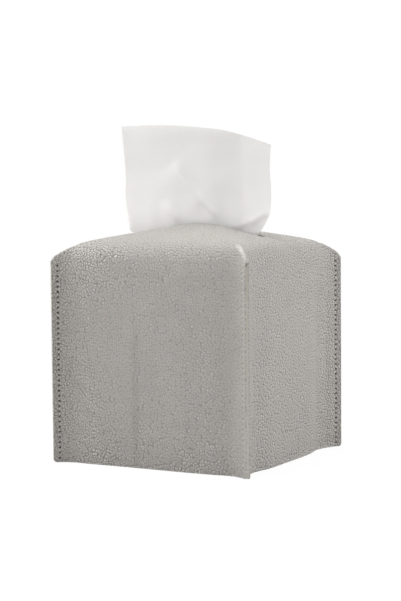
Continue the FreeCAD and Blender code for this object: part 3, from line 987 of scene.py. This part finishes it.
    def form(self, fine: bool) -> bmesh.types.BMesh:
        """Outer face of the cover as one sheet, open at hem, slot and raw edges.

        Args:
            fine: whether rows and columns follow the needle holes.

        Returns:
            The sheet, with a value on each needle hole that sinks it and gives it painted shade, and a
            painted highlight value along the corner ridges.
        """
        sheet = bmesh.new()
        pit, painted_ridge_highlight = (sheet.verts.layers.float.new(name) for name in ("pit", "painted_ridge_highlight"))
        flat = sheet.verts.layers.float_vector.new("pattern")
        for side in Side:
            rows = []
            for height in self.levels(fine):
                closed = height >= self.fin_top
                reach = self.wall if height <= self.crown.stops[-1][1] else self.reach_at(height)
                half = self.half_row(height, reach, closed)
                row = [(-a, b) for a, b in reversed(half[1:])] + half
                rows.append([side.spot(a, b + self.swell(side, a, height), height) for a, b in row])
            along, outward = side.spot(1.0, 0.0, 0.0), side.spot(0.0, 1.0, 0.0)
            rows += self.crown_rows_of(side, [(point.dot(along), point.dot(outward)) for point in rows[-1]])
            made = self._lace(sheet, side, rows, pit, fine)
            for row, spots in zip(made, self.flat_pattern(side, rows, len(self.levels(fine)))):
                for vertex, spot in zip(row, spots):
                    vertex[flat] = spot
            # Painted highlight along the corner ridges above the fins.
            for row in made[self.ridge_row(fine):self.ridge_row(fine) + self.ridge_length]:
                for place, share in enumerate(self.painted_ridge_highlight_shares):
                    row[place][painted_ridge_highlight] = row[-1 - place][painted_ridge_highlight] = share
        bmesh.ops.remove_doubles(sheet, verts=sheet.verts, dist=self.weld)
        sheet.normal_update()
        sheet.verts.index_update()
        return sheet

    @staticmethod
    def flat_pattern(side: Side, rows: list[list[Vector]], crown: int) -> list[list[Vector]]:
        """Places of one wall's points on the leather laid flat.

        Args:
            side: the wall.
            rows: its points.
            crown: index of the first row of the crown.

        Returns:
            A place for each point, the walls folded out round the crown.
        """
        along, outward = side.spot(1.0, 0.0, 0.0), side.spot(0.0, 1.0, 0.0)
        middle = len(rows[0]) // 2
        drop, spots = 0.0, []
        for index in reversed(range(crown)):
            row, above = rows[index], rows[min(index + 1, crown - 1)]
            drop += (row[middle] - above[middle]).length
            reach = [point.dot(along) for point in row]
            for j in range(middle + 1, len(row)):
                reach[j] = reach[j - 1] + (row[j] - row[j - 1]).length
                reach[-1 - j] = reach[len(row) - j] - (row[-1 - j] - row[len(row) - j]).length
            edge = rows[crown - 1][middle].dot(outward)
            spots.insert(0, [side.spot(u, edge + drop, 0.0) for u in reach])
        spots += [[Vector((point.x, point.y, 0.0)) for point in row] for row in rows[crown:]]
        return spots

    def ridge_row(self, fine: bool) -> int:
        """Index of the first level row above the fins."""
        return sum(height < self.fin_top for height in self.levels(fine))

    def _lace(self, sheet: bmesh.types.BMesh, side: Side, rows: list[list[Vector]], pit: object,
              fine: bool) -> list:
        """Add one wall's rows to the sheet, and mark its needle holes.

        Args:
            sheet: the sheet.
            side: the wall.
            rows: the wall's points.
            pit: layer that marks a needle hole.
            fine: whether there are needle holes.

        Returns:
            The rows of vertices.
        """
        made = [[sheet.verts.new(point) for point in row] for row in rows]
        if fine:
            columns, heights, half = self.fin_columns(), self.levels(fine), self.stitch.hole
            inner = [len(columns) - 1 - columns.index(self.stitch_reach + way * half) for way in (-1, 1)]
            # Needle holes get a dimple and painted shade, fainter on the front-right seam.
            for hole in self.holes:
                for way in (-1, 1):
                    row = made[heights.index(hole + way * half)]
                    for place in inner:
                        row[place][pit] = self.faint_pit if side is Side.RIGHT else 1.0
                        row[-1 - place][pit] = self.faint_pit if side is Side.FRONT else 1.0
        for low, high in zip(made, made[1:]):
            for j in range(len(low) - 1):
                sheet.faces.new((low[j], low[j + 1], high[j + 1], high[j]))
        return made

    def shell(self, name: str, sheet: bmesh.types.BMesh, near: float, far: float) -> tuple[
            bpy.types.Object, list[int]]:
        """Ply of the cover between two depths under its outer face.

        Args:
            name: the piece's name.
            sheet: the cover's outer face.
            near: depth of the ply's outer face.
            far: depth of its inner face.

        Returns:
            The piece, and a slot for each face: 0 outside, 1 inside and 2 on cut edges.
        """
        pit, painted_ridge_highlight = (sheet.verts.layers.float[name] for name in ("pit", "painted_ridge_highlight"))
        flat = sheet.verts.layers.float_vector["pattern"]
        count = len(sheet.verts)
        hollow = self.pit_share * self.leather if near == 0.0 else 0.0
        outer = [v.co - v.normal * (near + hollow * v[pit]) for v in sheet.verts]
        inner = [v.co - v.normal * far for v in sheet.verts]
        faces, slots = [], []
        for face in sheet.faces:
            around = [v.index for v in face.verts]
            faces += [around, [index + count for index in reversed(around)]]
            slots += [0, 1]
        for edge in sheet.edges:
            if len(edge.link_faces) == 1:
                loop = edge.link_loops[0]
                a, b = loop.vert.index, loop.link_loop_next.vert.index
                faces.append([b, a, a + count, b + count])
                slots.append(2)
        piece = mesh_object(name, outer + inner, faces)
        carry(piece, "pit", [v[pit] for v in sheet.verts] + [0.0] * count)
        carry(piece, "painted_ridge_highlight", [v[painted_ridge_highlight] for v in sheet.verts] + [0.0] * count)
        carry_pattern(piece, 2 * [v[flat] for v in sheet.verts])
        smooth_by_angle(piece, CRISP_EDGE)
        return piece, slots

    def build(self, hide: bpy.types.Material, raw: bpy.types.Material) -> None:
        """Make the leather and the lining, and dress them.

        Args:
            hide: the leather's finish.
            raw: the finish of its cut edges.
        """
        cloth = BackingCloth("backing_cloth", (0.30, 0.29, 0.275)).make()
        sheet = self.form(True)
        leather, slots = self.shell("cover_leather", sheet, 0.0, self.leather)
        dress(leather, (hide, cloth), [0 if slot == 2 else slot for slot in slots])
        sheet.free()
        sheet = self.form(False)
        lining, slots = self.shell("cover_lining", sheet, self.leather, self.leather + self.lining)
        dress(lining, (cloth, cloth, raw), slots)
        sheet.free()
        settle(leather, "cover", "outer_leather")
        settle(lining, "cover", "lining")


@dataclass
class ThreadWork:
    """Twisted thread laid along rows of needle holes."""

    stitch: Lockstitch = field(default_factory=Lockstitch)
    sides: int = 8
    rings: int = 10
    twist: float = 0.0013
    # rim, lens and pit size the dark lens of painted shade in a needle hole.
    rim: float = 0.0005
    lens: float = 0.00005
    pit: float = 0.0003
    # sinks spans the share of the dip over which the thread's painted shade grows.
    sinks: tuple[float, float] = (0.1, 0.8)

    def lay(self, holes: list[Vector], outward: Vector) -> tuple[
            list[Vector], list, list[tuple[float, float]]]:
        """Tube of thread that dips into each hole of a row.

        Args:
            holes: the needle holes on the surface, in order.
            outward: the surface's outward direction.

        Returns:
            Its points, faces, and for each point a value that follows its plies and how deep it is sunk,
            which sets its painted shade.
        """
        path, depths = [], []
        for start, end in zip(holes, holes[1:]):
            for step in range(self.rings):
                t = step / self.rings
                lift = math.sin(math.pi * t) * (self.stitch.proud + self.stitch.dip) - self.stitch.dip
                path.append(start.lerp(end, t) + outward * lift)
                depths.append(ease(*self.sinks, -lift / self.stitch.dip))
        path.append(holes[-1] - outward * self.stitch.dip)
        depths.append(1.0)
        points, values = [], []
        run = 0.0
        for index, spot in enumerate(path):
            before, after = path[max(index - 1, 0)], path[min(index + 1, len(path) - 1)]
            ahead = (after - before).normalized()
            across = ahead.cross(outward).normalized()
            up = across.cross(ahead).normalized()
            run += (spot - before).length
            for k in range(self.sides):
                turn = 2.0 * math.pi * k / self.sides
                ply = 0.5 + 0.5 * math.cos(2.0 * turn - run * 2.0 * math.pi / self.twist)
                radius = self.stitch.radius * (0.86 + 0.14 * ply)
                points.append(spot + (across * math.cos(turn) + up * math.sin(turn)) * radius)
                values.append((ply, depths[index]))
        return points, ring_faces(len(path), self.sides), values

    def puncture(self, hole: Vector, outward: Vector) -> tuple[list[Vector], list]:
        """Painted shade of a needle hole: a flat dark lens sunk into the surface.

        Args:
            hole: middle of the hole on the surface.
            outward: the surface's outward direction.

        Returns:
            Its points and faces.
        """
        across = outward.cross(Vector((0.0, 0.0, 1.0))).normalized()
        up = across.cross(outward)
        turns = [2.0 * math.pi * k / self.sides for k in range(self.sides)]
        points = [hole + (across * math.cos(turn) + up * math.sin(turn)) * self.rim for turn in turns]
        points += [hole + outward * self.lens, hole - outward * self.pit]
        faces = []
        for k in range(self.sides):
            after = (k + 1) % self.sides
            faces += [(k, after, self.sides), (after, k, self.sides + 1)]
        return points, faces

    def piece(self, name: str, rows: list[tuple[list[Vector], Vector]],
              punctured: Sequence[int] = (), depth: float = 1.0) -> tuple[bpy.types.Object, list[int]]:
        """One object of several rows of thread.

        Args:
            name: the object's name.
            rows: holes and outward direction of each row.
            punctured: rows that get a dark lens of painted shade in each needle hole.
            depth: how strong the thread's painted shade is where it goes in.

        Returns:
            The object, and a slot for each face: 0 on thread, 1 on the painted shade of a hole.
        """
        points, faces, values, slots = [], [], [], []

        def add(more: list[Vector], around: list, plies: list[tuple[float, float]], slot: int) -> None:
            """Take in one more closed form."""
            faces.extend(tuple(index + len(points) for index in face) for face in around)
            slots.extend([slot] * len(around))
            points.extend(more)
            values.extend(plies)

        for index, (holes, outward) in enumerate(rows):
            add(*self.lay(holes, outward), 0)
            for hole in holes[:-1] if index in punctured else ():
                more, around = self.puncture(hole, outward)
                add(more, around, [(0.0, 0.0)] * len(more), 1)
        made = mesh_object(name, points, faces, closed=True)
        carry(made, "ply", [ply for ply, _ in values])
        carry(made, "sunk", [depth * sunk for _, sunk in values])
        return made, slots


@dataclass
class CornerSeams:
    """Lockstitch seams of the corner fins, needle thread on one face and bobbin on the other."""

    cover: CoverShell
    thread: bpy.types.Material
    tack: float = 0.00025
    tack_holes: int = 3
    faint: float = 0.35
    work: ThreadWork = field(default_factory=ThreadWork)

    def build(self) -> None:
        """Make every seam thread and dress it."""
        for corner, (first, second) in CORNERS.items():
            (fx, fy), (sx, sy) = first.value[0], second.value[0]
            out = Vector((fx + sx, fy + sy, 0.0)).normalized()
            across = Vector((sx - fx, sy - fy, 0.0)).normalized()
            for thread, way in (("needle", 1.0), ("bobbin", -1.0)):
                face = across * way
                root = out * self.cover.stitch_reach + face * self.cover.fin_half
                holes = [root + Vector((0.0, 0.0, height)) for height in self.cover.holes]
                # The front-right seam's thread gets fainter painted shade where it goes in.
                depth = self.faint if corner == "front_right" else 1.0
                tack = [hole + face * self.tack for hole in holes[:self.tack_holes]]
                rows = [(holes, face), (tack, face)]
                seam, _ = self.work.piece(f"{thread}_stitches_{corner}", rows, depth=depth)
                dress(seam, (self.thread,))
                settle(seam, "cover", f"{thread}_thread_{corner}")


@dataclass(frozen=True)
class BoxStitch:
    """Closed rectangle of stitches that holds a tape patch."""

    half_across: float = 0.0108
    half_up: float = 0.0078
    middle: float = 0.0121
    row_holes: int = 9
    column_holes: int = 5

    def holes(self) -> list[tuple[float, float]]:
        """Needle holes round the box, back to the first, as distance along the wall and height."""
        across = [self.half_across * (2.0 * step / (self.row_holes - 1) - 1.0)
                  for step in range(self.row_holes)]
        rise = [self.middle + self.half_up * (2.0 * (step + 1) / (self.column_holes + 1) - 1.0)
                for step in range(self.column_holes)]
        low, high = self.middle - self.half_up, self.middle + self.half_up
        loop = [(a, low) for a in across] + [(self.half_across, height) for height in rise]
        loop += [(a, high) for a in reversed(across)]
        loop += [(-self.half_across, height) for height in reversed(rise)]
        return loop + loop[:1]


@dataclass
class TouchTape:
    """Rounded patch of touch fastener tape, sewn down along a groove in its mating face."""

    half_width: float = 0.0125
    length: float = 0.019
    thick: float = 0.0012
    corner: float = 0.0015
    sink: float = 0.0004
    edge: float = 0.0002
    heart: float = 0.0085
    hook_pitch: float = 0.0013
    hook_sides: int = 6
    hook_form: tuple[tuple[float, float], ...] = (
        (0.00016, -0.00005), (0.00013, 0.00013), (0.00027, 0.00017), (0.0002, 0.00025))
    crisp: float = 40.0
    stitch: BoxStitch = BoxStitch()

    def outline(self, inset: float) -> list[tuple[float, float]]:
        """Points round the patch at a distance inside its edge."""
        across, up = self.half_width - inset, self.length / 2.0 - inset
        bend = max(self.corner - inset, 0.00005)
        points = []
        for quarter in range(4):
            centre_a = (across - bend) * (1.0 if quarter in (0, 3) else -1.0)
            centre_u = (up - bend) * (1.0 if quarter in (0, 1) else -1.0)
            for step in range(6):
                turn = (quarter + step / 5.0) * math.pi / 2.0
                points.append((centre_a + bend * math.cos(turn), centre_u + bend * math.sin(turn)))
        return points

    def hooks(self) -> list[tuple[float, float]]:
        """Places of the hooks inside the stitched box."""
        columns = int(2.0 * (self.stitch.half_across - self.hook_pitch) / self.hook_pitch)
        rows = int(2.0 * (self.stitch.half_up - self.hook_pitch) / self.hook_pitch)
        return [((i - columns / 2.0) * self.hook_pitch, (j - rows / 2.0) * self.hook_pitch)
                for i in range(columns + 1) for j in range(rows + 1)]

    def piece(self, name: str, side: Side, back: float, facing: float, pile: Pile) -> bpy.types.Object:
        """Build one patch.

        Args:
            name: the piece's name.
            side: the wall that it lies against.
            back: distance of its sewn face from the middle.
            facing: 1 if it mates outwards, -1 if inwards.
            pile: hooks or loops.

        Returns:
            The patch.
        """
        groove = self.half_width - self.stitch.half_across
        profile = (
            (self.heart, 0.0), (self.edge, 0.0), (0.0, self.edge), (0.0, self.thick - self.edge),
            (self.edge, self.thick), (groove - self.sink, self.thick), (groove, self.thick - self.sink),
            (groove + self.sink, self.thick), (self.heart, self.thick))

        def at(along: float, up: float, rise: float) -> Vector:
            """Point on the patch."""
            return side.spot(along, back + facing * rise, self.stitch.middle + up)

        points = [at(a, u, rise) for inset, rise in profile for a, u in self.outline(inset)]
        faces = ring_faces(len(profile), len(points) // len(profile))
        if pile is Pile.HOOK:
            turns = [2.0 * math.pi * k / self.hook_sides for k in range(self.hook_sides)]
            for a, u in self.hooks():
                faces += ring_faces(len(self.hook_form), self.hook_sides, len(points))
                points += [at(a + radius * math.cos(turn), u + radius * math.sin(turn), self.thick + rise)
                           for radius, rise in self.hook_form for turn in turns]
        made = mesh_object(name, points, faces, closed=True)
        smooth_by_angle(made, self.crisp)
        return made


@dataclass
class Closure:
    """What closes the cover below: loop patches inside two walls, and a belt with hook pads."""

    cover: CoverShell
    thread: bpy.types.Material
    hide: bpy.types.Material
    raw: bpy.types.Material
    reach: float = 0.0609
    strap: float = 0.0016
    half_width: float = 0.0125
    low: float = 0.0003
    bend: float = 0.0034
    end: float = 0.0223
    edge: float = 0.0005
    corner: float = 0.0018
    gap: float = 0.0003
    sunk: float = 0.0003
    face_shift: float = 0.02
    bend_steps: int = 10
    floor_steps: int = 16
    end_drops: tuple[float, ...] = (0.0, 0.0002, 0.0005, 0.0009, 0.0014, 0.0018, 0.004, 0.008, 0.012, 0.016)
    tape: TouchTape = field(default_factory=TouchTape)
    work: ThreadWork = field(default_factory=ThreadWork)

    def strap_path(self) -> list[tuple[Vector, Vector, float]]:
        """Middle line of the strap from end to end, with its outward direction and distance from the end."""
        half = self.strap / 2.0
        turn, rise = self.reach - self.bend, self.low + self.bend
        side, down = Vector((1.0, 0.0, 0.0)), Vector((0.0, 0.0, -1.0))
        run = [(Vector((self.reach - half, 0.0, self.end - drop)), side, drop) for drop in self.end_drops]
        for step in range(self.bend_steps + 1):
            angle = -math.pi / 2.0 * step / self.bend_steps
            outward = Vector((math.cos(angle), 0.0, math.sin(angle)))
            run.append((Vector((turn, 0.0, rise)) + outward * (self.bend - half), outward, self.end))
        for step in range(1, self.floor_steps):
            x = turn * (1.0 - step / self.floor_steps)
            run.append((Vector((x, 0.0, self.low + half)), down, self.end))
        flip = Vector((-1.0, 1.0, 1.0))
        mirrored = [(spot * flip, outward * flip, drop) for spot, outward, drop in reversed(run)]
        return run + [(Vector((0.0, 0.0, self.low + half)), down, self.end)] + mirrored

    def belt(self) -> None:
        """Make the strap and dress it."""
        half = self.strap / 2.0
        section = []
        for quarter in range(4):
            sign_a = 1.0 if quarter in (0, 3) else -1.0
            sign_t = 1.0 if quarter in (0, 1) else -1.0
            for step in range(5):
                turn = (quarter + step / 4.0) * math.pi / 2.0
                section.append((sign_a, self.edge * (math.cos(turn) - sign_a),
                                sign_t * (half - self.edge) + self.edge * math.sin(turn)))
        path = self.strap_path()
        points, flat = [], []
        run = 0.0
        for index, (spot, outward, drop) in enumerate(path):
            run += (spot - path[max(index - 1, 0)][0]).length
            wide = self.half_width - rounded(self.corner, drop)
            for sign, shift, lift in section:
                across = sign * wide + shift
                points.append(spot + Vector((0.0, across, 0.0)) + outward * lift)
                flat.append(Vector((across + math.copysign(self.face_shift, lift), run, 0.0)))
        strap = mesh_object("belt_leather", points, ring_faces(len(path), len(section)), closed=True)
        carry_pattern(strap, flat)
        slots = [1 if abs(face.normal.y) > 0.6 else 0 for face in strap.data.polygons]
        dress(strap, (self.hide, self.raw), slots)
        smooth_by_angle(strap, CRISP_EDGE)
        settle(strap, "belt", "belt_strap")

    def row(self, side: Side, out: float, facing: float) -> tuple[list[Vector], Vector]:
        """Box stitch on a face of one side.

        Args:
            side: the wall.
            out: distance of the face from the middle.
            facing: 1 if the face looks outwards, -1 if inwards.

        Returns:
            Its holes in order and the face's direction.
        """
        holes = [side.spot(a, out, height) for a, height in self.tape.stitch.holes()]
        return holes, side.spot(0.0, facing, 0.0)

    def build(self) -> None:
        """Make patches, pads, belt and their stitches, and dress them."""
        self.belt()
        # Near-black material for the lenses of painted shade in the needle holes.
        hole = NeedleHoleShade("needle_hole_shade", (0.075, 0.071, 0.065)).make()
        loops = FastenerTape("loop_tape", (0.27, 0.265, 0.25), Pile.LOOP).make()
        hooks = FastenerTape("hook_tape", (0.22, 0.215, 0.2), Pile.HOOK).make()
        inside = self.cover.wall - self.cover.leather - self.cover.lining
        patch_face = inside - self.tape.thick
        hook_face = patch_face - self.gap
        for name, side in (("right", Side.RIGHT), ("left", Side.LEFT)):
            patch = self.tape.piece(f"loop_tape_{name}", side, inside, -1.0, Pile.LOOP)
            dress(patch, (loops,))
            settle(patch, "cover", f"loop_patch_{name}")
            pad = self.tape.piece(f"hook_tape_{name}", side, self.reach, 1.0, Pile.HOOK)
            dress(pad, (hooks,))
            settle(pad, "belt", f"hook_pad_{name}")
            rows = [self.row(side, self.cover.wall, 1.0), self.row(side, patch_face + self.sunk, -1.0)]
            sewing, slots = self.work.piece(f"loop_tape_stitches_{name}", rows, punctured=(0,))
            dress(sewing, (self.thread, hole), slots)
            settle(sewing, "cover", f"loop_patch_thread_{name}")
            rows = [self.row(side, self.reach - self.strap, -1.0), self.row(side, hook_face - self.sunk, 1.0)]
            sewing, slots = self.work.piece(f"hook_tape_stitches_{name}", rows, punctured=(0,))
            dress(sewing, (self.thread, hole), slots)
            settle(sewing, "belt", f"hook_pad_thread_{name}")


@dataclass
class TissuePack:
    """Carton with its slit film, and the pile of interleaved tissues inside."""

    plies: int = 24
    ply: float = 0.0015
    columns: int = 13
    ply_steps: int = 14
    fold_steps: int = 5
    room: float = 0.0001
    stagger: float = 0.0007
    fringe: float = 0.0006
    wave: float = 0.0003

    def pile_path(self, low: Vector, high: Vector) -> list[tuple[float, float]]:
        """Middle line of the pile, back and forth.

        Args:
            low: lowest corner of the pile's room.
            high: its highest corner.

        Returns:
            Pairs of distance along X and height.
        """
        bottom, top = low.z + self.room + self.ply / 2.0, high.z - self.room - self.ply / 2.0
        pitch = (top - bottom) / (self.plies - 1)
        bend = pitch / 2.0
        path = []
        for index in range(self.plies):
            way = 1.0 if index % 2 == 0 else -1.0
            height = bottom + index * pitch
            back = self.stagger * (1.0 + wander(4.4, index * 1.7))
            start = low.x + bend + self.ply / 2.0 + self.stagger
            end = high.x - bend - self.ply / 2.0 - back
            for step in range(self.ply_steps + 1):
                t = step / self.ply_steps
                path.append((way * (start + t * (end - start)), height))
            if index < self.plies - 1:
                for step in range(1, self.fold_steps):
                    turn = math.pi * (step / self.fold_steps - 0.5)
                    path.append((way * (end + bend * math.cos(turn)), height + bend + bend * math.sin(turn)))
        return path

    def pile(self, paper: bpy.types.Material) -> None:
        """Args:
            paper: its finish.
        """
        low, high = (Vector(corner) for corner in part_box("tissue_stack"))
        path = self.pile_path(low, high)
        count = len(path)
        points = []
        for column in range(self.columns):
            share = column / (self.columns - 1)
            for index, (x, z) in enumerate(path):
                (x0, z0), (x1, z1) = path[max(index - 1, 0)], path[min(index + 1, count - 1)]
                across = Vector((z0 - z1, 0.0, x1 - x0)).normalized()
                jitter = self.fringe * (1.0 + wander(1.9, index * 0.05))
                y = low.y + jitter + share * (high.y - low.y - 2.0 * jitter)
                inner = min(z - low.z, high.z - z) > 2.0 * self.ply
                wave = self.wave * wander(8.2 + z * 400.0, x * 30.0, y * 30.0) if inner else 0.0
                for way in (0.5, -0.5):
                    points.append(Vector((x, y, z + wave)) + across * self.ply * way)
        faces = []
        ring = 2 * count
        for column in range(self.columns - 1):
            for index in range(count - 1):
                for way in (0, 1):
                    a = column * ring + 2 * index + way
                    faces.append((a, a + 2, a + 2 + ring, a + ring))
            for index in (0, count - 1):
                a = column * ring + 2 * index
                faces.append((a, a + 1, a + 1 + ring, a + ring))
        for first in (0, (self.columns - 1) * ring):
            starts = range(first, first + 2 * (count - 1), 2)
            faces += [(a, a + 1, a + 3, a + 2) for a in starts]
        pile = mesh_object("tissue_pile", points, faces, closed=True)
        smooth_by_angle(pile, CRISP_EDGE)
        dress(pile, (paper,))
        settle(pile, "tissue_pack", "tissue_stack")

    def build(self) -> None:
        """Dress the carton and its film, and make the pile."""
        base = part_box("carton")[0][2]
        board = CartonBoard("white_carton_board", (0.63, 0.625, 0.61), base).make()
        film = ClearFilm("clear_window_film", (0.9, 0.92, 0.93)).make()
        for node, finish in (("carton", board), ("carton_film", film)):
            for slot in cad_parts[node].material_slots:
                slot.material = finish
            LOG.info("%s keeps its shape and is dressed", node)
        self.pile(TissuePaper("piled_tissue_paper", TISSUE_TONE, TISSUE_PASSING).make())


@dataclass
class PulledTissue:
    """Tissue that stands in the slot: a folded sheet, front part shorter than the back part.

    sight keeps the outline in place along the camera's line as the sheet leans. Each fold has its two
    ends, its depth and its widths above and below.
    """

    foot: float = 0.0645
    slot: float = 0.1435
    opened: float = 0.185
    mean_top: float = 0.213
    fold_share: float = 0.45
    fold_bend: float = 0.0018
    half_gap: float = 0.0005
    lap: float = 0.0002
    ripple: float = 0.00012
    softness: float = 0.0008
    fade_in: float = 0.004
    fade_out: float = 0.006
    columns: int = 120
    rows: int = 96
    left: Line = Line((
        (0.130, -0.0410), (0.1425, -0.0430), (0.1462, -0.0532), (0.1502, -0.0543), (0.1583, -0.0564),
        (0.1663, -0.0580), (0.1703, -0.0581), (0.1784, -0.0576), (0.1905, -0.0581), (0.2146, -0.0602)))
    right: Line = Line((
        (0.130, 0.0408), (0.1415, 0.0415), (0.1466, 0.0450), (0.1543, 0.0496), (0.1581, 0.0511),
        (0.1657, 0.0516), (0.1733, 0.0514), (0.1847, 0.0505), (0.1961, 0.0512), (0.200, 0.0514)))
    front_end: Line = Line(((0.130, 0.0300), (0.145, 0.0310), (0.17, 0.0315), (0.21, 0.0310)))
    top: Line = Line((
        (-0.0602, 0.2153), (-0.0417, 0.2154), (-0.030, 0.2150), (-0.0173, 0.2144), (0.0, 0.2128),
        (0.015, 0.2108), (0.0243, 0.2087), (0.0365, 0.2052), (0.0514, 0.2002)))
    lean: Line = Line((
        (0.1440, 0.0), (0.1500, 0.0008), (0.1720, 0.0046), (0.1860, 0.0054), (0.2000, 0.0040),
        (0.2154, -0.0008)))
    sight: float = 0.5486
    folds: tuple = (
        ((-0.0165, 0.1880), (0.0027, 0.1656), -0.0016, 0.0060, 0.0060),
        ((0.0027, 0.1656), (0.0117, 0.1564), -0.0012, 0.0035, 0.0010),
        ((-0.0245, 0.1615), (-0.0148, 0.1530), -0.0010, 0.0045, 0.0020),
        ((0.0235, 0.1456), (0.0490, 0.1564), -0.0007, 0.0040, 0.0008),
        ((0.0330, 0.1447), (0.0425, 0.1530), -0.0005, 0.0020, 0.0006))

    def point(self, c: float, v: float) -> Vector:
        """Point of the sheet.

        Args:
            c: share of its width, from the front part's free edge round the fold.
            v: share of its length, from the foot.

        Returns:
            The point, in metres.
        """
        back = c > self.fold_share
        share = (c - self.fold_share) / (1.0 - self.fold_share) if back else 1.0 - c / self.fold_share
        guess = self.foot + v * (self.mean_top - self.foot)
        reach = self.right if back else self.front_end
        x = self.left.at(guess) + share * (reach.at(guess) - self.left.at(guess))
        z = self.foot + v * (self.top.at(x) - self.foot)
        x = self.left.at(z) + share * (reach.at(z) - self.left.at(z))
        open_share = ease(self.slot, self.opened, z)
        gap = self.half_gap + self.half_gap * open_share
        near_fold = min(share * 0.1 / self.fold_bend, 1.0)
        bulge = gap * math.sqrt(max(1.0 - (1.0 - near_fold) ** 2, 0.0))
        behind = 1.0 if back else ease(0.7, 1.0, share)
        y = bulge * (2.0 * behind - 1.0) - (0.0 if back else self.lap * (1.0 - ease(0.8, 1.0, share)))
        small = self.ripple * math.sin(x * 420.0 + 0.8 * (1.0 - behind)) * (1.0 - open_share)
        broad = open_share * (
            0.0003 * math.sin(x * 118.0 - 1.1 + 12.0 * z)
            - 0.0005 * math.sin(x * 62.0 + 0.6 + 8.0 * (z - 0.18)))
        soft = open_share * self.softness * (
            behind * wander(2.4, x * 45.0, z * 38.0) + (1.0 - behind) * wander(7.9, x * 45.0, z * 38.0))
        lean = self.lean.at(z)
        return Vector((x - self.sight * lean, y + lean + small + broad + soft + self.creases(x, z), z))

    def creases(self, x: float, z: float) -> float:
        """Depth of the folds that run across the sheet, each with its own width above and below."""
        depth = 0.0
        for (x0, z0), (x1, z1), height, above, below in self.folds:
            run = math.hypot(x1 - x0, z1 - z0)
            ux, uz = (x1 - x0) / run, (z1 - z0) / run
            along = (x - x0) * ux + (z - z0) * uz
            off = -(x - x0) * uz + (z - z0) * ux
            fade = ease(-self.fade_out, self.fade_in, along)
            fade *= 1.0 - ease(run - self.fade_in, run + self.fade_out, along)
            depth += height * fade * math.exp(-abs(off) / (above if off > 0.0 else below))
        return depth * ease(0.1445, 0.150, z)

    def build(self) -> None:
        points = [self.point(j / (self.columns - 1), i / (self.rows - 1))
                  for i in range(self.rows) for j in range(self.columns)]
        faces = [(i * self.columns + j, i * self.columns + j + 1,
                  (i + 1) * self.columns + j + 1, (i + 1) * self.columns + j)
                 for i in range(self.rows - 1) for j in range(self.columns - 1)]
        sheet = mesh_object("standing_tissue", points, faces)
        dress(sheet, (TissuePaper("standing_tissue_paper", TISSUE_TONE, TISSUE_PASSING).make(),))
        settle(sheet, "tissue", "pulled_tissue")


@dataclass
class Studio:
    """Pale floor, soft lamps and the camera at the photograph's angle."""

    width: int = 401
    focal_pixels: float = 1428.0
    azimuth: float = 28.75
    elevation: float = 3.36
    distance: float = 0.930
    roll: float = -0.5
    sensor: float = 36.0
    shift_pixels: float = 0.5
    nearest: float = 0.01
    floor_half: float = 4.0
    floor_drop: float = 0.0002
    target: tuple[float, float, float] = (0.0, 0.0, 0.1005)
    lamps: tuple = (
        ("top_lamp", (0.0, 0.0, 1.6), 2.4, 31.0),
        ("left_lamp", (-1.2, -0.3, 1.4), 1.2, 37.0),
        ("right_lamp", (1.56, 0.72, 1.1), 1.4, 32.5),
        ("front_lamp", (-0.4, -1.6, 0.6), 1.2, 4.5))

    def camera(self) -> None:
        """Place the camera."""
        turn, tilt = math.radians(self.azimuth), math.radians(self.elevation)
        back = Vector((math.sin(turn) * math.cos(tilt), -math.cos(turn) * math.cos(tilt), math.sin(tilt)))
        right = Vector((math.cos(turn), math.sin(turn), 0.0))
        up = back.cross(right)
        place = Matrix((right, up, back)).transposed() @ Matrix.Rotation(math.radians(self.roll), 3, "Z")
        lens = bpy.data.cameras.new("camera")
        lens.sensor_fit = "HORIZONTAL"
        lens.sensor_width = self.sensor
        lens.lens = self.sensor * self.focal_pixels / self.width
        lens.shift_x = self.shift_pixels / self.width
        lens.clip_start = self.nearest
        made = bpy.data.objects.new("camera", lens)
        made.matrix_world = Matrix.Translation(Vector(self.target) + back * self.distance) @ place.to_4x4()
        bpy.context.scene.collection.objects.link(made)
        bpy.context.scene.camera = made

    def lamp(self, name: str, spot: tuple[float, float, float], size: float, watts: float) -> None:
        """Square soft lamp that faces the cover.

        Args:
            name: the lamp's name.
            spot: where it hangs.
            size: its edge length.
            watts: its power.
        """
        data = bpy.data.lights.new(name, "AREA")
        data.shape, data.size, data.energy = "SQUARE", size, watts
        made = bpy.data.objects.new(name, data)
        aim = Vector(self.target) - Vector(spot)
        made.matrix_world = Matrix.Translation(spot) @ aim.to_track_quat("-Z", "Y").to_matrix().to_4x4()
        bpy.context.scene.collection.objects.link(made)

    def floor(self) -> None:
        """Lay the floor."""
        half = self.floor_half
        plane = mesh_object("floor", [Vector((x, y, 0.0)) for x, y in (
            (-half, -half), (half, -half), (half, half), (-half, half))], [(0, 1, 2, 3)])
        plane.location.z = -self.floor_drop
        dress(plane, (StudioFloor().make(),))

    def build(self) -> None:
        """Set up the whole studio."""
        bpy.context.scene.view_settings.view_transform = "Standard"
        bpy.context.scene.world = StudioSky().make()
        self.camera()
        self.floor()
        for lamp in self.lamps:
            self.lamp(*lamp)


def main() -> None:
    """Build and dress every piece."""
    logging.basicConfig(level=logging.INFO, format="%(name)s: %(message)s")
    # The second colour is the valley colour, darker partly as painted shade in the grain's valleys.
    hide = PebbleLeather("grey_pebble_leather", (0.459, 0.434, 0.407), (0.325, 0.308, 0.287)).make()
    raw = RawEdge("leather_cut_edge", (0.385, 0.366, 0.343), (0.345, 0.325, 0.225)).make()
    thread = SewingThread("grey_seam_thread", (0.50, 0.48, 0.455)).make()
    cover = CoverShell()
    cover.build(hide, raw)
    CornerSeams(cover, thread).build()
    Closure(cover, thread, hide, raw).build()
    TissuePack().build()
    PulledTissue().build()
    Studio().build()


if __name__ == "__main__":
    main()
